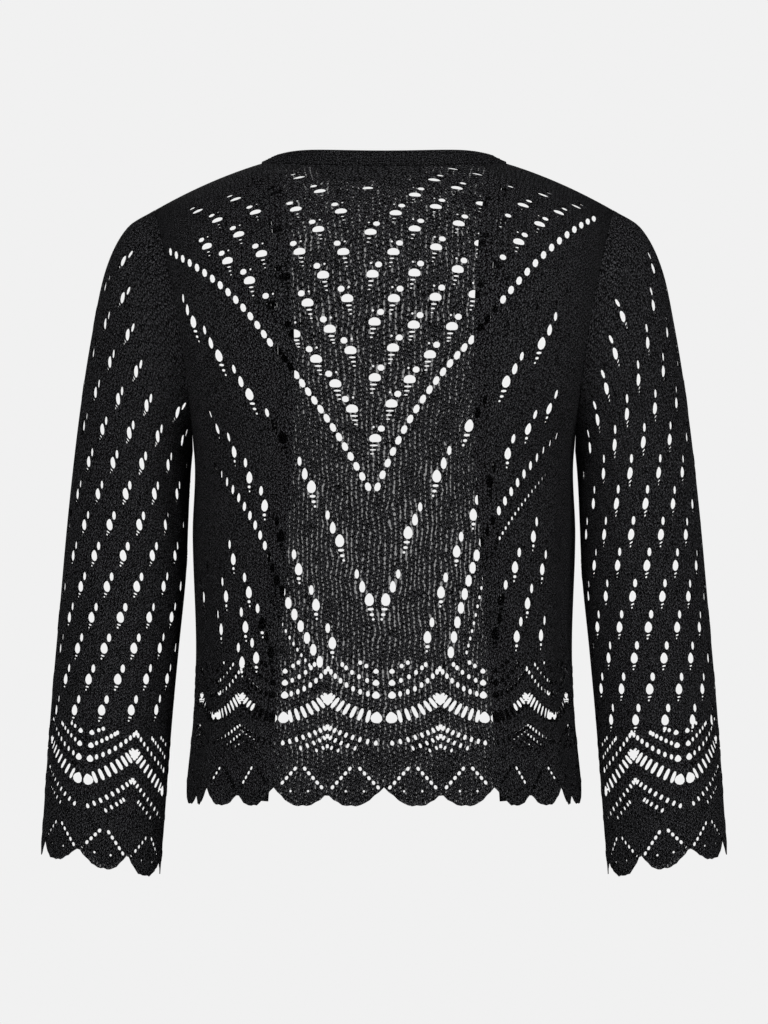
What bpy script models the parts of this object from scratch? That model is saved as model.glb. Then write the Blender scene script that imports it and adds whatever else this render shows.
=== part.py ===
"""A cropped, open-fronted cardigan in black lace knit, in the hollow shape it has when worn.

Metres, +Z up. The front faces -Y and the wearer's left is +X. The origin lies between the
shoulders, level with the neck, where the wearer's shoulders carry the cloth.

The body is one form: a ring at each level, rolled over the shoulders above the blades. Every panel
is cut from it in two measures, u round from the centre and v up the cloth. A sleeve is a row of
sections from the armhole to the cuff, measured by an angle round it and a distance along it.
"""

import math
from collections import namedtuple

import bpy
from mathutils import Vector
from mathutils.geometry import delaunay_2d_cdt
from mathutils.kdtree import KDTree

HALF_PI = math.pi / 2

# The knit
WALL = 0.0016
SEAM_GAP = 0.0004  # between two pieces that are sewn together
BODY_SPACING = 0.024  # of the points inside a body panel
SLEEVE_SPACING = 0.018
EDGE_STEP = 0.0055  # along a scalloped edge
SEAM_STEP = 0.020  # along a plain seam
HOLE_SIDES = 6
HOLE_MARGIN = 0.006  # of cloth between a hole and the edge of its panel
ROW_STEP = 0.87  # of the points' rows inside a panel, as a share of their spacing
POINT_CLEARANCE = 0.62  # of a point inside a panel from its loops, as a share of the spacing
RATE_STEP = 0.0004  # of the cloth measures, for the slope of a surface

# The body
QUARTER_GIRTH = 0.196  # from the centre back to the side seam
BLADE_Z = -0.130  # above it the cloth rolls over the shoulders
ROLL_LENGTH = 0.200  # of cloth from there to the shoulder line
SHOULDER_SEAM_V = BLADE_Z + ROLL_LENGTH - SEAM_GAP / 2
SQUARENESS = 0.035  # how far a ring is from an ellipse
SHOULDER_PEAK_Z = 0.0194  # where the two shoulder slopes would meet
SHOULDER_FALL = 1.63  # of the slope, for each metre out, squared
HEM_Z = -0.484
UNDERARM_Z = -0.215
NECK_X = 0.094  # the neck point, at the top of the shoulder seam
NECK_BACK_Z = 0.0015
SHOULDER_X = 0.175  # the shoulder point, at the top of the armhole
ARMHOLE_SCOOP = 0.005
ARMHOLE_SIDES = 16  # of half an armhole, between the shoulder and the underarm

Ring = namedtuple("Ring", "height half_width back front")
RINGS = (
    Ring(HEM_Z, 0.1500, 0.100, 0.110),
    Ring(-0.375, 0.1440, 0.094, 0.113),
    Ring(-0.280, 0.1465, 0.099, 0.119),
    Ring(UNDERARM_Z, 0.1455, 0.105, 0.117),
    Ring(-0.165, 0.1590, 0.109, 0.108),
    Ring(-0.110, 0.1710, 0.108, 0.098),
    Ring(0.070, 0.1810, 0.104, 0.092),
)

FrontEdge = namedtuple("FrontEdge", "height out")
FRONT_EDGES = (
    FrontEdge(HEM_Z, 0.101),
    FrontEdge(-0.330, 0.090),
    FrontEdge(-0.200, 0.083),
    FrontEdge(-0.100, 0.083),
    FrontEdge(-0.030, 0.088),
    FrontEdge(0.005, NECK_X),
)

# The scallops of the hem and of the cuffs
Scallop = namedtuple("Scallop", "period first_trough deep_notch small_notch")
HEM_SCALLOP = Scallop(QUARTER_GIRTH / 3, 0.0, 0.014, 0.009)
CUFF_SCALLOP = Scallop(0.084, -0.019, 0.012, 0.014)
NOTCH_ENDS = 0.42  # share of a half period that the deep notch takes
NOTCH_POWER = 1.3  # 1 is a straight-sided notch, and more is a narrower one
SMALL_NOTCH_STARTS = 0.66
SMALL_NOTCH_POWER = 1.5

# Soft folds of the body, each a trough that runs up the cloth
Fold = namedtuple("Fold", "round_at width depth low high")
FOLDS = (
    Fold(0.150, 0.013, 0.0030, -0.470, -0.250),
    Fold(0.176, 0.010, 0.0024, -0.400, -0.225),
    Fold(0.118, 0.014, 0.0016, -0.484, -0.380),
)
FOLD_START = 0.05  # of a fold's length over which it deepens, from its low end
FOLD_FADE = 0.06  # the same at its high end
HEM_WAVE = 0.0022  # in and out, from scallop to scallop
HEM_WAVE_HEIGHT = 0.075

# The sleeve, from the armhole to the cuff: the outer line, the inner line and the half depth
Section = namedtuple("Section", "along outer_x outer_z inner_x inner_z half_depth")
SLEEVE = (
    Section(0.000, 0.1750, -0.0305, 0.1458, -0.215, 0.0560),
    Section(0.022, 0.1960, -0.0440, 0.1464, -0.221, 0.0560),
    Section(0.055, 0.2120, -0.0740, 0.1474, -0.232, 0.0545),
    Section(0.095, 0.2220, -0.1180, 0.1484, -0.248, 0.0520),
    Section(0.150, 0.2320, -0.1800, 0.1494, -0.272, 0.0495),
    Section(0.215, 0.2410, -0.2570, 0.1512, -0.312, 0.0485),
    Section(0.290, 0.2485, -0.3400, 0.1568, -0.368, 0.0485),
    Section(0.370, 0.2550, -0.4150, 0.1625, -0.431, 0.0480),
    Section(0.481, 0.2626, -0.5235, 0.1708, -0.5410, 0.0465),
)
SLEEVE_ROUND = 0.049  # radius at which the distance round a sleeve is measured
SLEEVE_CREASE = 0.0022  # depth of the soft trough beside the underarm line
CREASE_ANGLE = 2.45
CREASE_WIDTH = 0.22

# The neck band and the front bands
BAND_WIDTH = 0.0128
BAND_RIDGE = 0.0008
BAND_RIDGES = 3
BAND_WALL = 0.0022
BAND_LEAN = 0.43  # how far the neck band leans in for each metre up, at the centre back
BAND_SHOULDER_LEAN = 2.0  # the same at the neck points
BAND_LEAN_POWER = 5
BAND_STEP = 0.016
SAME_PLACE = 0.0001  # two places closer than this are one
BAND_TURN_Z = -0.060  # below it a front band lies in the plane of its panel

# Lines of eyelets on the body: z = start_z + slope * d - bend * d * d, where d is the distance out
# from start_x. The last columns are one eyelet's size and how many of the line's are cut: 1 is all.
Line = namedtuple("Line", "start_x start_z slope bend pitch width height one_in")
BODY_LINES = (
    Line(0.0, -0.0228, 0.72, 1.2, 0.0240, 0.0085, 0.0050, 1),
    Line(0.0, -0.0486, 0.84, 1.2, 0.0240, 0.0090, 0.0058, 1),
    Line(0.0, -0.0813, 0.93, 1.3, 0.0240, 0.0095, 0.0062, 1),
    Line(0.0, -0.1178, 1.02, 1.6, 0.0245, 0.0095, 0.0064, 1),
    Line(0.0, -0.1596, 1.18, 2.2, 0.0250, 0.0095, 0.0066, 1),
    Line(0.0, -0.2029, 1.42, 2.8, 0.0255, 0.0090, 0.0070, 1),
    Line(0.0040, -0.2409, 1.66, 3.4, 0.0073, 0.0042, 0.0058, 3),
    Line(0.0030, -0.3276, 2.05, 3.9, 0.0410, 0.0080, 0.0105, 1),
    Line(0.0490, -0.3330, 2.60, 9.9, 0.0290, 0.0056, 0.0094, 1),
)
LACE_SHIFT = 0.0085  # of the lace's centre line towards the wearer's left, gone at the border
LACE_SHIFT_TOP = -0.240
LACE_SHIFT_END = -0.365

# The border over the hem and the cuffs: a ladder of slots that follows the scallops. A slot's place
# is its number, moved on by the first share, out of the number of slots and the last share.
Ladder = namedtuple("Ladder", "above_edge rise slots width height trough_width one_in")
HEM_LADDER = Ladder(0.0670, 0.0140, 8, 0.0035, 0.0112, 0.0088, 4)
CUFF_LADDER = Ladder(0.0740, 0.0150, 7, 0.0036, 0.0105, 0.0084, 4)
FIRST_SLOT = 0.7
LAST_SLOT = 0.4

# The lattice of eyelets on a sleeve: rows, each moved round by the lean. They lie level below, and
# the top ones tilt about a place round from the middle of the half.
Lattice = namedtuple("Lattice", "first_z lean phase")
LEFT_LATTICE = Lattice(-0.0829, 0.0109, 0.0005)
RIGHT_LATTICE = Lattice(-0.0904, 0.0104, 0.0058)
LATTICE_ACROSS = 0.0243
LATTICE_DOWN = 0.0235
LATTICE_TILT = 0.36
LATTICE_TILT_ROUND = 0.012
LATTICE_LEVEL_BELOW = -0.250
LATTICE_TILTED_ABOVE = -0.120
LATTICE_TOP_V = 0.451
LATTICE_WIDTH = 0.0050
LATTICE_HEIGHT = 0.0078
LATTICE_REACH = 0.038  # round from the middle of the half
LATTICE_ROWS = 14
LATTICE_ONE_IN = 2  # of the rows are cut
LATTICE_COLUMNS = 16
SEARCH_STEPS = 30


def smooth_row(rows, at):
    """The row of a table at a value of its first column, along smooth curves through the rows."""
    keys = [row[0] for row in rows]
    if at <= keys[0]:
        return rows[0]
    if at >= keys[-1]:
        return rows[-1]
    k = max(i for i, key in enumerate(keys) if key <= at)

    def slope(i, column):
        lower = max(i - 1, 0)
        upper = min(i + 1, len(rows) - 1)
        return (rows[upper][column] - rows[lower][column]) / (keys[upper] - keys[lower])

    span = keys[k + 1] - keys[k]
    t = (at - keys[k]) / span
    values = [at]
    for column in range(1, len(rows[0])):
        start = rows[k][column]
        end = rows[k + 1][column]
        values.append(
            (2 * t**3 - 3 * t**2 + 1) * start
            + (t**3 - 2 * t**2 + t) * span * slope(k, column)
            + (3 * t**2 - 2 * t**3) * end
            + (t**3 - t**2) * span * slope(k + 1, column)
        )
    return type(rows[0])(*values)


def ramp(low, high, at):
    """0 below low, 1 above high and a smooth step between."""
    t = min(1.0, max(0.0, (at - low) / (high - low)))
    return t * t * (3 - 2 * t)


def squared_sin(angle):
    return (math.sin(angle) + SQUARENESS * math.sin(3 * angle)) / (1 - SQUARENESS)


def squared_cos(angle):
    return (math.cos(angle) - SQUARENESS * math.cos(3 * angle)) / (1 - SQUARENESS)


def squared_angle(value):
    """The angle whose squared_sin is value."""
    value = max(-1.0, min(1.0, value))
    sine = value
    for _ in range(8):
        found = (sine + SQUARENESS * (3 * sine - 4 * sine**3)) / (1 - SQUARENESS)
        rate = (1 + SQUARENESS * (3 - 12 * sine**2)) / (1 - SQUARENESS)
        sine = max(-1.0, min(1.0, sine - (found - value) / rate))
    return math.asin(sine)


def shoulder_z(x):
    """The height of the shoulder seam."""
    return SHOULDER_PEAK_Z - SHOULDER_FALL * x * x


def fold_depth(u, v):
    """How far the soft folds and the hem's waves move the cloth out."""
    moved = 0.0
    for fold in FOLDS:
        across = (abs(u) - fold.round_at) / fold.width
        started = ramp(fold.low, fold.low + FOLD_START, v)
        faded = ramp(fold.high - FOLD_FADE, fold.high, v)
        moved -= fold.depth * math.exp(-across * across) * started * (1 - faded)
    near_hem = 1 - ramp(HEM_Z, HEM_Z + HEM_WAVE_HEIGHT, v)
    return moved + HEM_WAVE * near_hem * math.cos(2 * math.pi * u / HEM_SCALLOP.period)


def body_point(u, v, face):
    """A point of the body's outer side. face is 1 on the back and -1 on the front."""
    ring = smooth_row(RINGS, v)
    depth = ring.back if face > 0 else ring.front
    angle = HALF_PI * u / QUARTER_GIRTH
    moved = 1 + fold_depth(u, v) / ring.half_width
    x = ring.half_width * squared_sin(angle) * moved
    y = depth * squared_cos(angle) * moved
    if v <= BLADE_Z:
        return Vector((x, face * y, v))
    roll = HALF_PI * (v - BLADE_Z) / ROLL_LENGTH
    z = BLADE_Z + (shoulder_z(x) - BLADE_Z) * squared_sin(roll)
    return Vector((x, face * y * squared_cos(roll), z))


def body_place(x, z):
    """The u and v of the cloth that shows at x and z, seen from straight behind or in front."""
    v = z
    if z > BLADE_Z:
        share = (z - BLADE_Z) / (shoulder_z(x) - BLADE_Z)
        v = BLADE_Z + ROLL_LENGTH * squared_angle(share) / HALF_PI
    half_width = smooth_row(RINGS, v).half_width
    return QUARTER_GIRTH * squared_angle(x / half_width) / HALF_PI, v


def armhole_place(angle):
    """x and z of the armhole on the wearer's left, from 0 at the shoulder to pi at the underarm."""
    share = (1 - math.cos(angle)) / 2
    underarm_x = smooth_row(RINGS, UNDERARM_Z).half_width
    x = SHOULDER_X + (underarm_x - SHOULDER_X) * share
    z = shoulder_z(SHOULDER_X) + (UNDERARM_Z - shoulder_z(SHOULDER_X)) * share
    return x - ARMHOLE_SCOOP * math.sin(angle) ** 2, z


def section_point(section, angle):
    """A point of a sleeve's section, with y as the distance from its middle plane."""
    middle_x = (section.outer_x + section.inner_x) / 2
    middle_z = (section.outer_z + section.inner_z) / 2
    x = middle_x + (section.outer_x - middle_x) * math.cos(angle)
    z = middle_z + (section.outer_z - middle_z) * math.cos(angle)
    return Vector((x, section.half_depth * math.sin(angle), z))


def sleeve_point(angle, along, face):
    """A point of the left sleeve's outer side, from the outer line at 0 to the inner at pi."""
    point = section_point(smooth_row(SLEEVE, along), angle)
    hang = ramp(0.0, SLEEVE[3].along, along)
    if hang < 1:
        x, z = armhole_place(angle)
        hole = body_point(*body_place(x, z), face)
        hole = Vector((x + SEAM_GAP, face * hole.y, z))
        point += (hole - section_point(SLEEVE[0], angle)) * (1 - hang)
    across = (angle - CREASE_ANGLE) / CREASE_WIDTH
    point.y -= SLEEVE_CREASE * math.exp(-across * across) * hang
    return Vector((point.x, face * point.y, point.z))


def scallop_lift(scallop, u):
    """How far a scalloped edge lies above the tips of its scallops."""
    half = scallop.period / 2
    turn = (u - scallop.first_trough) / half % 2
    share = min(turn, 2 - turn)
    deep = max(0.0, 1 - share / NOTCH_ENDS)
    small = max(0.0, (share - SMALL_NOTCH_STARTS) / (1 - SMALL_NOTCH_STARTS))
    deep_lift = scallop.deep_notch * deep**NOTCH_POWER
    return deep_lift + scallop.small_notch * small**SMALL_NOTCH_POWER


def normal_at(surface, u, v):
    """The normal of the outer side, by small steps along u and v, and the two rates."""
    step = RATE_STEP
    along_u = (surface(u + step, v) - surface(u - step, v)) / (2 * step)
    along_v = (surface(u, v + step) - surface(u, v - step)) / (2 * step)
    return along_u.cross(along_v).normalized(), along_u.length, along_v.length


def stepped(start, end, step):
    """Evenly spaced values from start up to, and without, end."""
    count = max(1, round(abs(end - start) / step))
    return [start + (end - start) * i / count for i in range(count)]


def ellipse_hole(surface, u, v, width, height, tilt=0.0):
    """A hole's loop, of its true size where it lies, leaning by tilt."""
    _, rate_u, rate_v = normal_at(surface, u, v)
    loop = []
    for i in range(HOLE_SIDES):
        turn = 2 * math.pi * i / HOLE_SIDES + HALF_PI
        across = width / 2 * math.cos(turn)
        up = height / 2 * math.sin(turn)
        leaned = across * math.cos(tilt) - up * math.sin(tilt)
        raised = across * math.sin(tilt) + up * math.cos(tilt)
        loop.append((u + leaned / rate_u, v + raised / rate_v))
    return loop


def inside(loop, u, v):
    """Whether a point lies in the loop."""
    found = False
    for (u0, v0), (u1, v1) in zip(loop, loop[1:] + loop[:1]):
        if (v0 > v) != (v1 > v) and u < u0 + (v - v0) / (v1 - v0) * (u1 - u0):
            found = not found
    return found


def kept_holes(outline, holes, spacing):
    """The holes that lie in the outline with cloth left round them."""
    dense = []
    for (u0, v0), (u1, v1) in zip(outline, outline[1:] + outline[:1]):
        for share in stepped(0.0, 1.0, spacing / 4 / max(math.hypot(u1 - u0, v1 - v0), 1e-9)):
            dense.append((u0 + (u1 - u0) * share, v0 + (v1 - v0) * share))
    tree = tree_of(dense)
    kept = []
    for loop in holes:
        clear = all(inside(outline, u, v) for u, v in loop)
        if clear and all(tree.find((u, v, 0))[2] > HOLE_MARGIN for u, v in loop):
            kept.append(loop)
    return kept


def tree_of(points):
    tree = KDTree(len(points))
    for i, (u, v) in enumerate(points):
        tree.insert((u, v, 0), i)
    tree.balance()
    return tree


def cloth_triangles(outline, holes, spacing):
    """Points and triangles of a flat panel with holes, in u and v."""
    points = []
    loops = []
    for loop in [outline] + holes:
        loops.append(list(range(len(points), len(points) + len(loop))))
        points += loop
    tree = tree_of(points)
    low_u, high_u = min(p[0] for p in outline), max(p[0] for p in outline)
    low_v, high_v = min(p[1] for p in outline), max(p[1] for p in outline)
    for row, v in enumerate(stepped(low_v, high_v, spacing * ROW_STEP)):
        for u in stepped(low_u, high_u, spacing):
            moved = u + spacing * (row % 2) / 2
            if tree.find((moved, v, 0))[2] > POINT_CLEARANCE * spacing:
                points.append((moved, v))
    flat, _, triangles, _, _, sources = delaunay_2d_cdt(
        [Vector(p) for p in points], [], loops, 1, 1e-7, True
    )
    solid = [tuple(t) for t, source in zip(triangles, sources) if list(source) == [0]]
    return [tuple(p) for p in flat], solid


def wall_object(name, outline, holes, spacing, surface, mirrored=False):
    """A closed wall: the panel's outer side, its inner side and the rims between them."""
    flat, triangles = cloth_triangles(outline, kept_holes(outline, holes, spacing), spacing)
    used = sorted({i for triangle in triangles for i in triangle})
    place = {old: new for new, old in enumerate(used)}
    outer = []
    inner = []
    middle = flat[used[len(used) // 2]]
    out = surface(*middle) - centre_of(surface, outline)
    turned = normal_at(surface, *middle)[0].dot(out) < 0
    for old in used:
        point = surface(*flat[old])
        normal = normal_at(surface, *flat[old])[0]
        outer.append(point)
        inner.append(point + normal * (WALL if turned else -WALL))
    count = len(outer)
    faces = [tuple(place[i] for i in triangle) for triangle in triangles]
    sides = {}
    for a, b, c in faces:
        for edge in ((a, b), (b, c), (c, a)):
            sides[edge] = True
    rims = [edge for edge in sides if (edge[1], edge[0]) not in sides]
    faces += [(c + count, b + count, a + count) for a, b, c in faces]
    faces += [(b, a, a + count, b + count) for a, b in rims]
    if turned != mirrored:
        faces = [face[::-1] for face in faces]
    points = outer + inner
    if mirrored:
        points = [Vector((-p.x, p.y, p.z)) for p in points]
    return mesh_object(name, points, faces)


def centre_of(surface, outline):
    """A point inside the form that the outline is cut from."""
    points = [surface(*p) for p in outline]
    middle = sum(points, Vector()) / len(points)
    return Vector((middle.x, 0.0, middle.z))


def mesh_object(name, points, faces):
    mesh = bpy.data.meshes.new(name)
    mesh.from_pydata([tuple(p) for p in points], [], faces)
    mesh.validate()
    made = bpy.data.objects.new(name, mesh)
    bpy.context.scene.collection.objects.link(made)
    mesh.shade_smooth()
    mesh.set_sharp_from_angle(angle=math.radians(50))
    made.data.materials.append(knit_material(name))
    return made


def knit_material(name):
    """Black cotton yarn with a low sheen."""
    material = bpy.data.materials.new(name + "_knit")
    material.use_nodes = True
    shader = material.node_tree.nodes["Principled BSDF"]
    shader.inputs["Base Color"].default_value = (0.012, 0.012, 0.013, 1.0)
    shader.inputs["Roughness"].default_value = 0.62
    shader.inputs["Metallic"].default_value = 0.0
    return material


def lace_shift(z):
    return LACE_SHIFT * ramp(LACE_SHIFT_END, LACE_SHIFT_TOP, z)


def line_holes(line, face):
    """The eyelets of a line, on both sides of the lace's centre."""
    surface = body_surface(face)
    holes = []
    out = 0.0
    count = 0
    while out < QUARTER_GIRTH:
        z = line.start_z + line.slope * out - line.bend * out * out
        steepness = line.slope - 2 * line.bend * out
        if steepness < 0:
            break
        if count % line.one_in == 0:
            for side in (1, -1) if out + line.start_x > 0 else (1,):
                x = side * (line.start_x + out) + lace_shift(z)
                if z < shoulder_z(x) - HOLE_MARGIN:
                    u, v = body_place(x, z)
                    holes.append(ellipse_hole(surface, u, v, line.width, line.height))
        out += line.pitch / math.hypot(1, steepness)
        count += 1
    return holes


def ladder_holes(ladder, scallop, surface, edge_v, low, high):
    """The slots of a border's ladder between low and high, where surface takes u and v."""
    half = scallop.period / 2
    holes = []
    first = math.floor((low - scallop.first_trough) / scallop.period)
    last = math.ceil((high - scallop.first_trough) / scallop.period)
    for number in range(first, last + 1):
        trough = scallop.first_trough + number * scallop.period
        for side in (1, -1):
            for slot in range(0, ladder.slots, ladder.one_in):
                share = (slot + FIRST_SLOT) / (ladder.slots + LAST_SLOT)
                u = trough + side * share * half
                v = edge_v + ladder.above_edge + ladder.rise * share * share
                lean = side * math.atan(2 * ladder.rise * share / half)
                width = ladder.trough_width if slot == 0 else ladder.width
                if low < u < high:
                    holes.append(ellipse_hole(surface, u, v, width, ladder.height, lean))
    return holes


def body_surface(face):
    return lambda u, v: body_point(u, v, face)


def hem_to_neck(start_u):
    """A body panel's left edge, from the hem at start_u, up the side and in to the neck point."""
    side_u = QUARTER_GIRTH - SEAM_GAP / 2
    loop = []
    for u in stepped(start_u, side_u, EDGE_STEP):
        loop.append((u, HEM_Z + scallop_lift(HEM_SCALLOP, u)))
    hem_end = HEM_Z + scallop_lift(HEM_SCALLOP, side_u)
    loop += [(side_u, v) for v in stepped(hem_end, UNDERARM_Z, SEAM_STEP)]
    loop += [(side_u, UNDERARM_Z)] + armhole_edge()
    shoulder_u = body_place(SHOULDER_X, shoulder_z(SHOULDER_X))[0]
    neck_u = body_place(NECK_X, shoulder_z(NECK_X))[0]
    return loop + [(u, SHOULDER_SEAM_V) for u in stepped(shoulder_u, neck_u, SEAM_STEP)]


def cloth_places(places):
    """Places given as x and z, in u and v, none of them beyond the shoulder seam."""
    measured = [body_place(x, z) for x, z in places]
    return [(u, min(v, SHOULDER_SEAM_V)) for u, v in measured]


def neck_places():
    """x and z along the back of the neck, from its centre to the neck point."""
    places = []
    for x in stepped(0, NECK_X, BAND_STEP) + [NECK_X]:
        share = x / NECK_X
        rise = shoulder_z(NECK_X) - NECK_BACK_Z
        places.append((x, NECK_BACK_Z + rise * share * share))
    return places


def front_edge_places():
    """x and z down the front edge, from the neck point to the hem."""
    foot_u = body_place(front_edge_x(HEM_Z), HEM_Z)[0]
    foot_z = HEM_Z + scallop_lift(HEM_SCALLOP, foot_u)
    heights = stepped(shoulder_z(NECK_X), foot_z, BAND_STEP) + [foot_z]
    return [(front_edge_x(z), z) for z in heights]


def armhole_edge():
    """The armhole's points from the underarm up to the shoulder point."""
    return [body_place(*armhole_place(angle)) for angle in armhole_angles()[::-1]]


def armhole_angles():
    """The angles between the shoulder and the underarm at which an armhole has its points."""
    return [math.pi * i / ARMHOLE_SIDES for i in range(1, ARMHOLE_SIDES)]


def back_outline():
    """The back, from the centre of the hem round by the wearer's left."""
    left = hem_to_neck(0) + cloth_places(neck_places()[::-1])
    right = [(-u, v) for u, v in left[-2:0:-1]]
    return left + right


def front_edge_x(z):
    return smooth_row(FRONT_EDGES, z).out


def front_outline():
    """The left front, from the foot of its front edge round to the neck point."""
    foot_u = body_place(*front_edge_places()[-1])[0]
    return hem_to_neck(foot_u) + cloth_places(front_edge_places()[:-1])


def body_holes(face):
    holes = []
    for line in BODY_LINES:
        holes += line_holes(line, face)
    low, high = -QUARTER_GIRTH, QUARTER_GIRTH
    return holes + ladder_holes(HEM_LADDER, HEM_SCALLOP, body_surface(face), HEM_Z, low, high)


def sleeve_surface(face):
    """The left sleeve in u, round from the middle of the half, and v, up from the cuff."""

    def surface(u, v):
        return sleeve_point(HALF_PI - u / SLEEVE_ROUND, SLEEVE[-1].along - v, face)

    return surface


def sleeve_outline():
    """One half of a sleeve, cut along its outer and inner lines."""
    reach = SLEEVE_ROUND * HALF_PI - SEAM_GAP / 2
    length = SLEEVE[-1].along
    loop = [(u, scallop_lift(CUFF_SCALLOP, -u)) for u in stepped(-reach, reach, EDGE_STEP)]
    end = scallop_lift(CUFF_SCALLOP, -reach)
    start = scallop_lift(CUFF_SCALLOP, reach)
    loop += [(reach, v) for v in stepped(end, length, SEAM_STEP)]
    loop.append((reach, length))
    loop += [(SLEEVE_ROUND * (HALF_PI - angle), length) for angle in armhole_angles()]
    loop += [(-reach, v) for v in stepped(length, start, SEAM_STEP)]
    return loop


def sleeve_v(u, z, face):
    """The height up the sleeve's cloth, at u, where it lies at z."""
    surface = sleeve_surface(face)
    low, high = 0.0, SLEEVE[-1].along
    for _ in range(SEARCH_STEPS):
        middle = (low + high) / 2
        if surface(u, middle).z < z:
            low = middle
        else:
            high = middle
    return (low + high) / 2


def sleeve_holes(face, lattice):
    surface = sleeve_surface(face)
    holes = []
    for row in range(0, LATTICE_ROWS, LATTICE_ONE_IN):
        z = lattice.first_z - row * LATTICE_DOWN
        tilt = LATTICE_TILT * ramp(LATTICE_LEVEL_BELOW, LATTICE_TILTED_ABOVE, z)
        for column in range(-LATTICE_COLUMNS, LATTICE_COLUMNS):
            u = column * LATTICE_ACROSS + row * lattice.lean + lattice.phase
            if abs(u) < LATTICE_REACH:
                v = sleeve_v(u, z + tilt * (u - LATTICE_TILT_ROUND), face)
                if v < LATTICE_TOP_V:
                    holes.append(ellipse_hole(surface, u, v, LATTICE_WIDTH, LATTICE_HEIGHT))
    reach = SLEEVE_ROUND * HALF_PI
    flipped = CUFF_SCALLOP._replace(first_trough=-CUFF_SCALLOP.first_trough)
    return holes + ladder_holes(CUFF_LADDER, flipped, surface, 0.0, -reach, reach)


def band_profile():
    """Height and thickness of the band's section: ridges outside and a plain back."""
    low, high = SEAM_GAP, BAND_WIDTH
    profile = [(low, -BAND_WALL), (high, -BAND_WALL)]
    steps = 2 * BAND_RIDGES
    for i in range(steps + 1):
        raised = BAND_RIDGE if i % 2 else 0.0
        profile.append((high + (low - high) * i / steps, raised))
    return profile


def band_object(name, path, mirrored=False):
    """A strip along a path of (point, height direction, outward direction)."""
    profile = band_profile()
    points = []
    for point, up, out in path:
        for height, thickness in profile:
            points.append(point + up * height + out * thickness)
    size = len(profile)
    faces = []
    for i in range(len(path) - 1):
        for j in range(size):
            k = (j + 1) % size
            faces.append((i * size + j, i * size + k, (i + 1) * size + k, (i + 1) * size + j))
    faces.append(tuple(range(size))[::-1])
    faces.append(tuple((len(path) - 1) * size + j for j in range(size)))
    first, second = path[0], path[1]
    direction = (second[0] - first[0]).dot(first[1].cross(first[2]))
    if (direction < 0) != mirrored:
        faces = [face[::-1] for face in faces]
    if mirrored:
        points = [Vector((-p.x, p.y, p.z)) for p in points]
    return mesh_object(name, points, faces)


def band_frames(places, face, lean_of):
    """The band's frame at each (x, z) place along the edge of a panel."""
    surface = body_surface(face)
    points = [surface(*body_place(x, z)) for x, z in places]
    frames = []
    for i, (x, z) in enumerate(places):
        ahead = points[min(i + 1, len(points) - 1)] - points[max(i - 1, 0)]
        tangent = ahead.normalized()
        if z > BAND_TURN_Z and abs(abs(x) - NECK_X) < SAME_PLACE:  # where two bands meet
            tangent = Vector((0, math.copysign(1, ahead.y), 0))
            points[i].y += face * SEAM_GAP / 2
        normal = normal_at(surface, *body_place(x, z))[0]
        if normal.dot(Vector((0, face, 0.3))) < 0:
            normal = -normal
        in_plane = normal.cross(tangent).normalized()
        if in_plane.dot(Vector((-x, 0, 0.05))) < 0:
            in_plane = -in_plane
        toward_axis = Vector((-points[i].x, -points[i].y, 0)).normalized()
        leans = (abs(x) / NECK_X) ** BAND_LEAN_POWER
        lean = BAND_LEAN + (BAND_SHOULDER_LEAN - BAND_LEAN) * leans
        upright = (Vector((0, 0, 1)) + toward_axis * lean).normalized()
        up = upright.lerp(in_plane, lean_of(z))
        up = (up - tangent * up.dot(tangent)).normalized()
        out = up.cross(tangent).normalized()
        if out.dot(normal) < 0:
            out = -out
        frames.append((points[i], up, out))
    return frames


def neck_band():
    """The strip that stands round the back of the neck, from shoulder seam to shoulder seam."""
    left = neck_places()
    places = [(-x, z) for x, z in left[:0:-1]] + left
    return band_object("neck_band", band_frames(places, 1, lambda z: 0.0))


def front_band(name, mirrored):
    """The strip down a front edge, upright at the shoulder and flat on the chest."""
    places = front_edge_places()
    frames = band_frames(places, -1, lambda z: 1 - ramp(BAND_TURN_Z, places[0][1], z))
    return band_object(name, frames, mirrored)


def main():
    for thing in list(bpy.data.objects):
        bpy.data.objects.remove(thing, do_unlink=True)
    wall_object("back", back_outline(), body_holes(1), BODY_SPACING, body_surface(1))
    for side, mirrored in (("left", False), ("right", True)):
        wall_object(
            "front_" + side,
            front_outline(),
            body_holes(-1),
            BODY_SPACING,
            body_surface(-1),
            mirrored,
        )
        for half, face in (("back", 1), ("front", -1)):
            wall_object(
                "sleeve_" + side + "_" + half,
                sleeve_outline(),
                sleeve_holes(face, RIGHT_LATTICE if mirrored else LEFT_LATTICE),
                SLEEVE_SPACING,
                sleeve_surface(face),
                mirrored,
            )
        front_band("front_band_" + side, mirrored)
    neck_band()


main()
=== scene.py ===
"""A cropped, open-fronted cardigan in black lace knit, in the hollow shape it has when worn.

Metres, +Z up. The front faces -Y and the wearer's left is +X. Each panel is a thin shell on its CAD
solid's form, cut in cloth measures: u round and v up. On the body u starts at the centre and v is
the height. On a sleeve u runs from the outer line, positive on the back, and v up from the cuff.
"""

import math
from collections import namedtuple

import bpy
import numpy as np
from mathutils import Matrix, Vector
from mathutils.geometry import delaunay_2d_cdt
from mathutils.kdtree import KDTree


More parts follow.
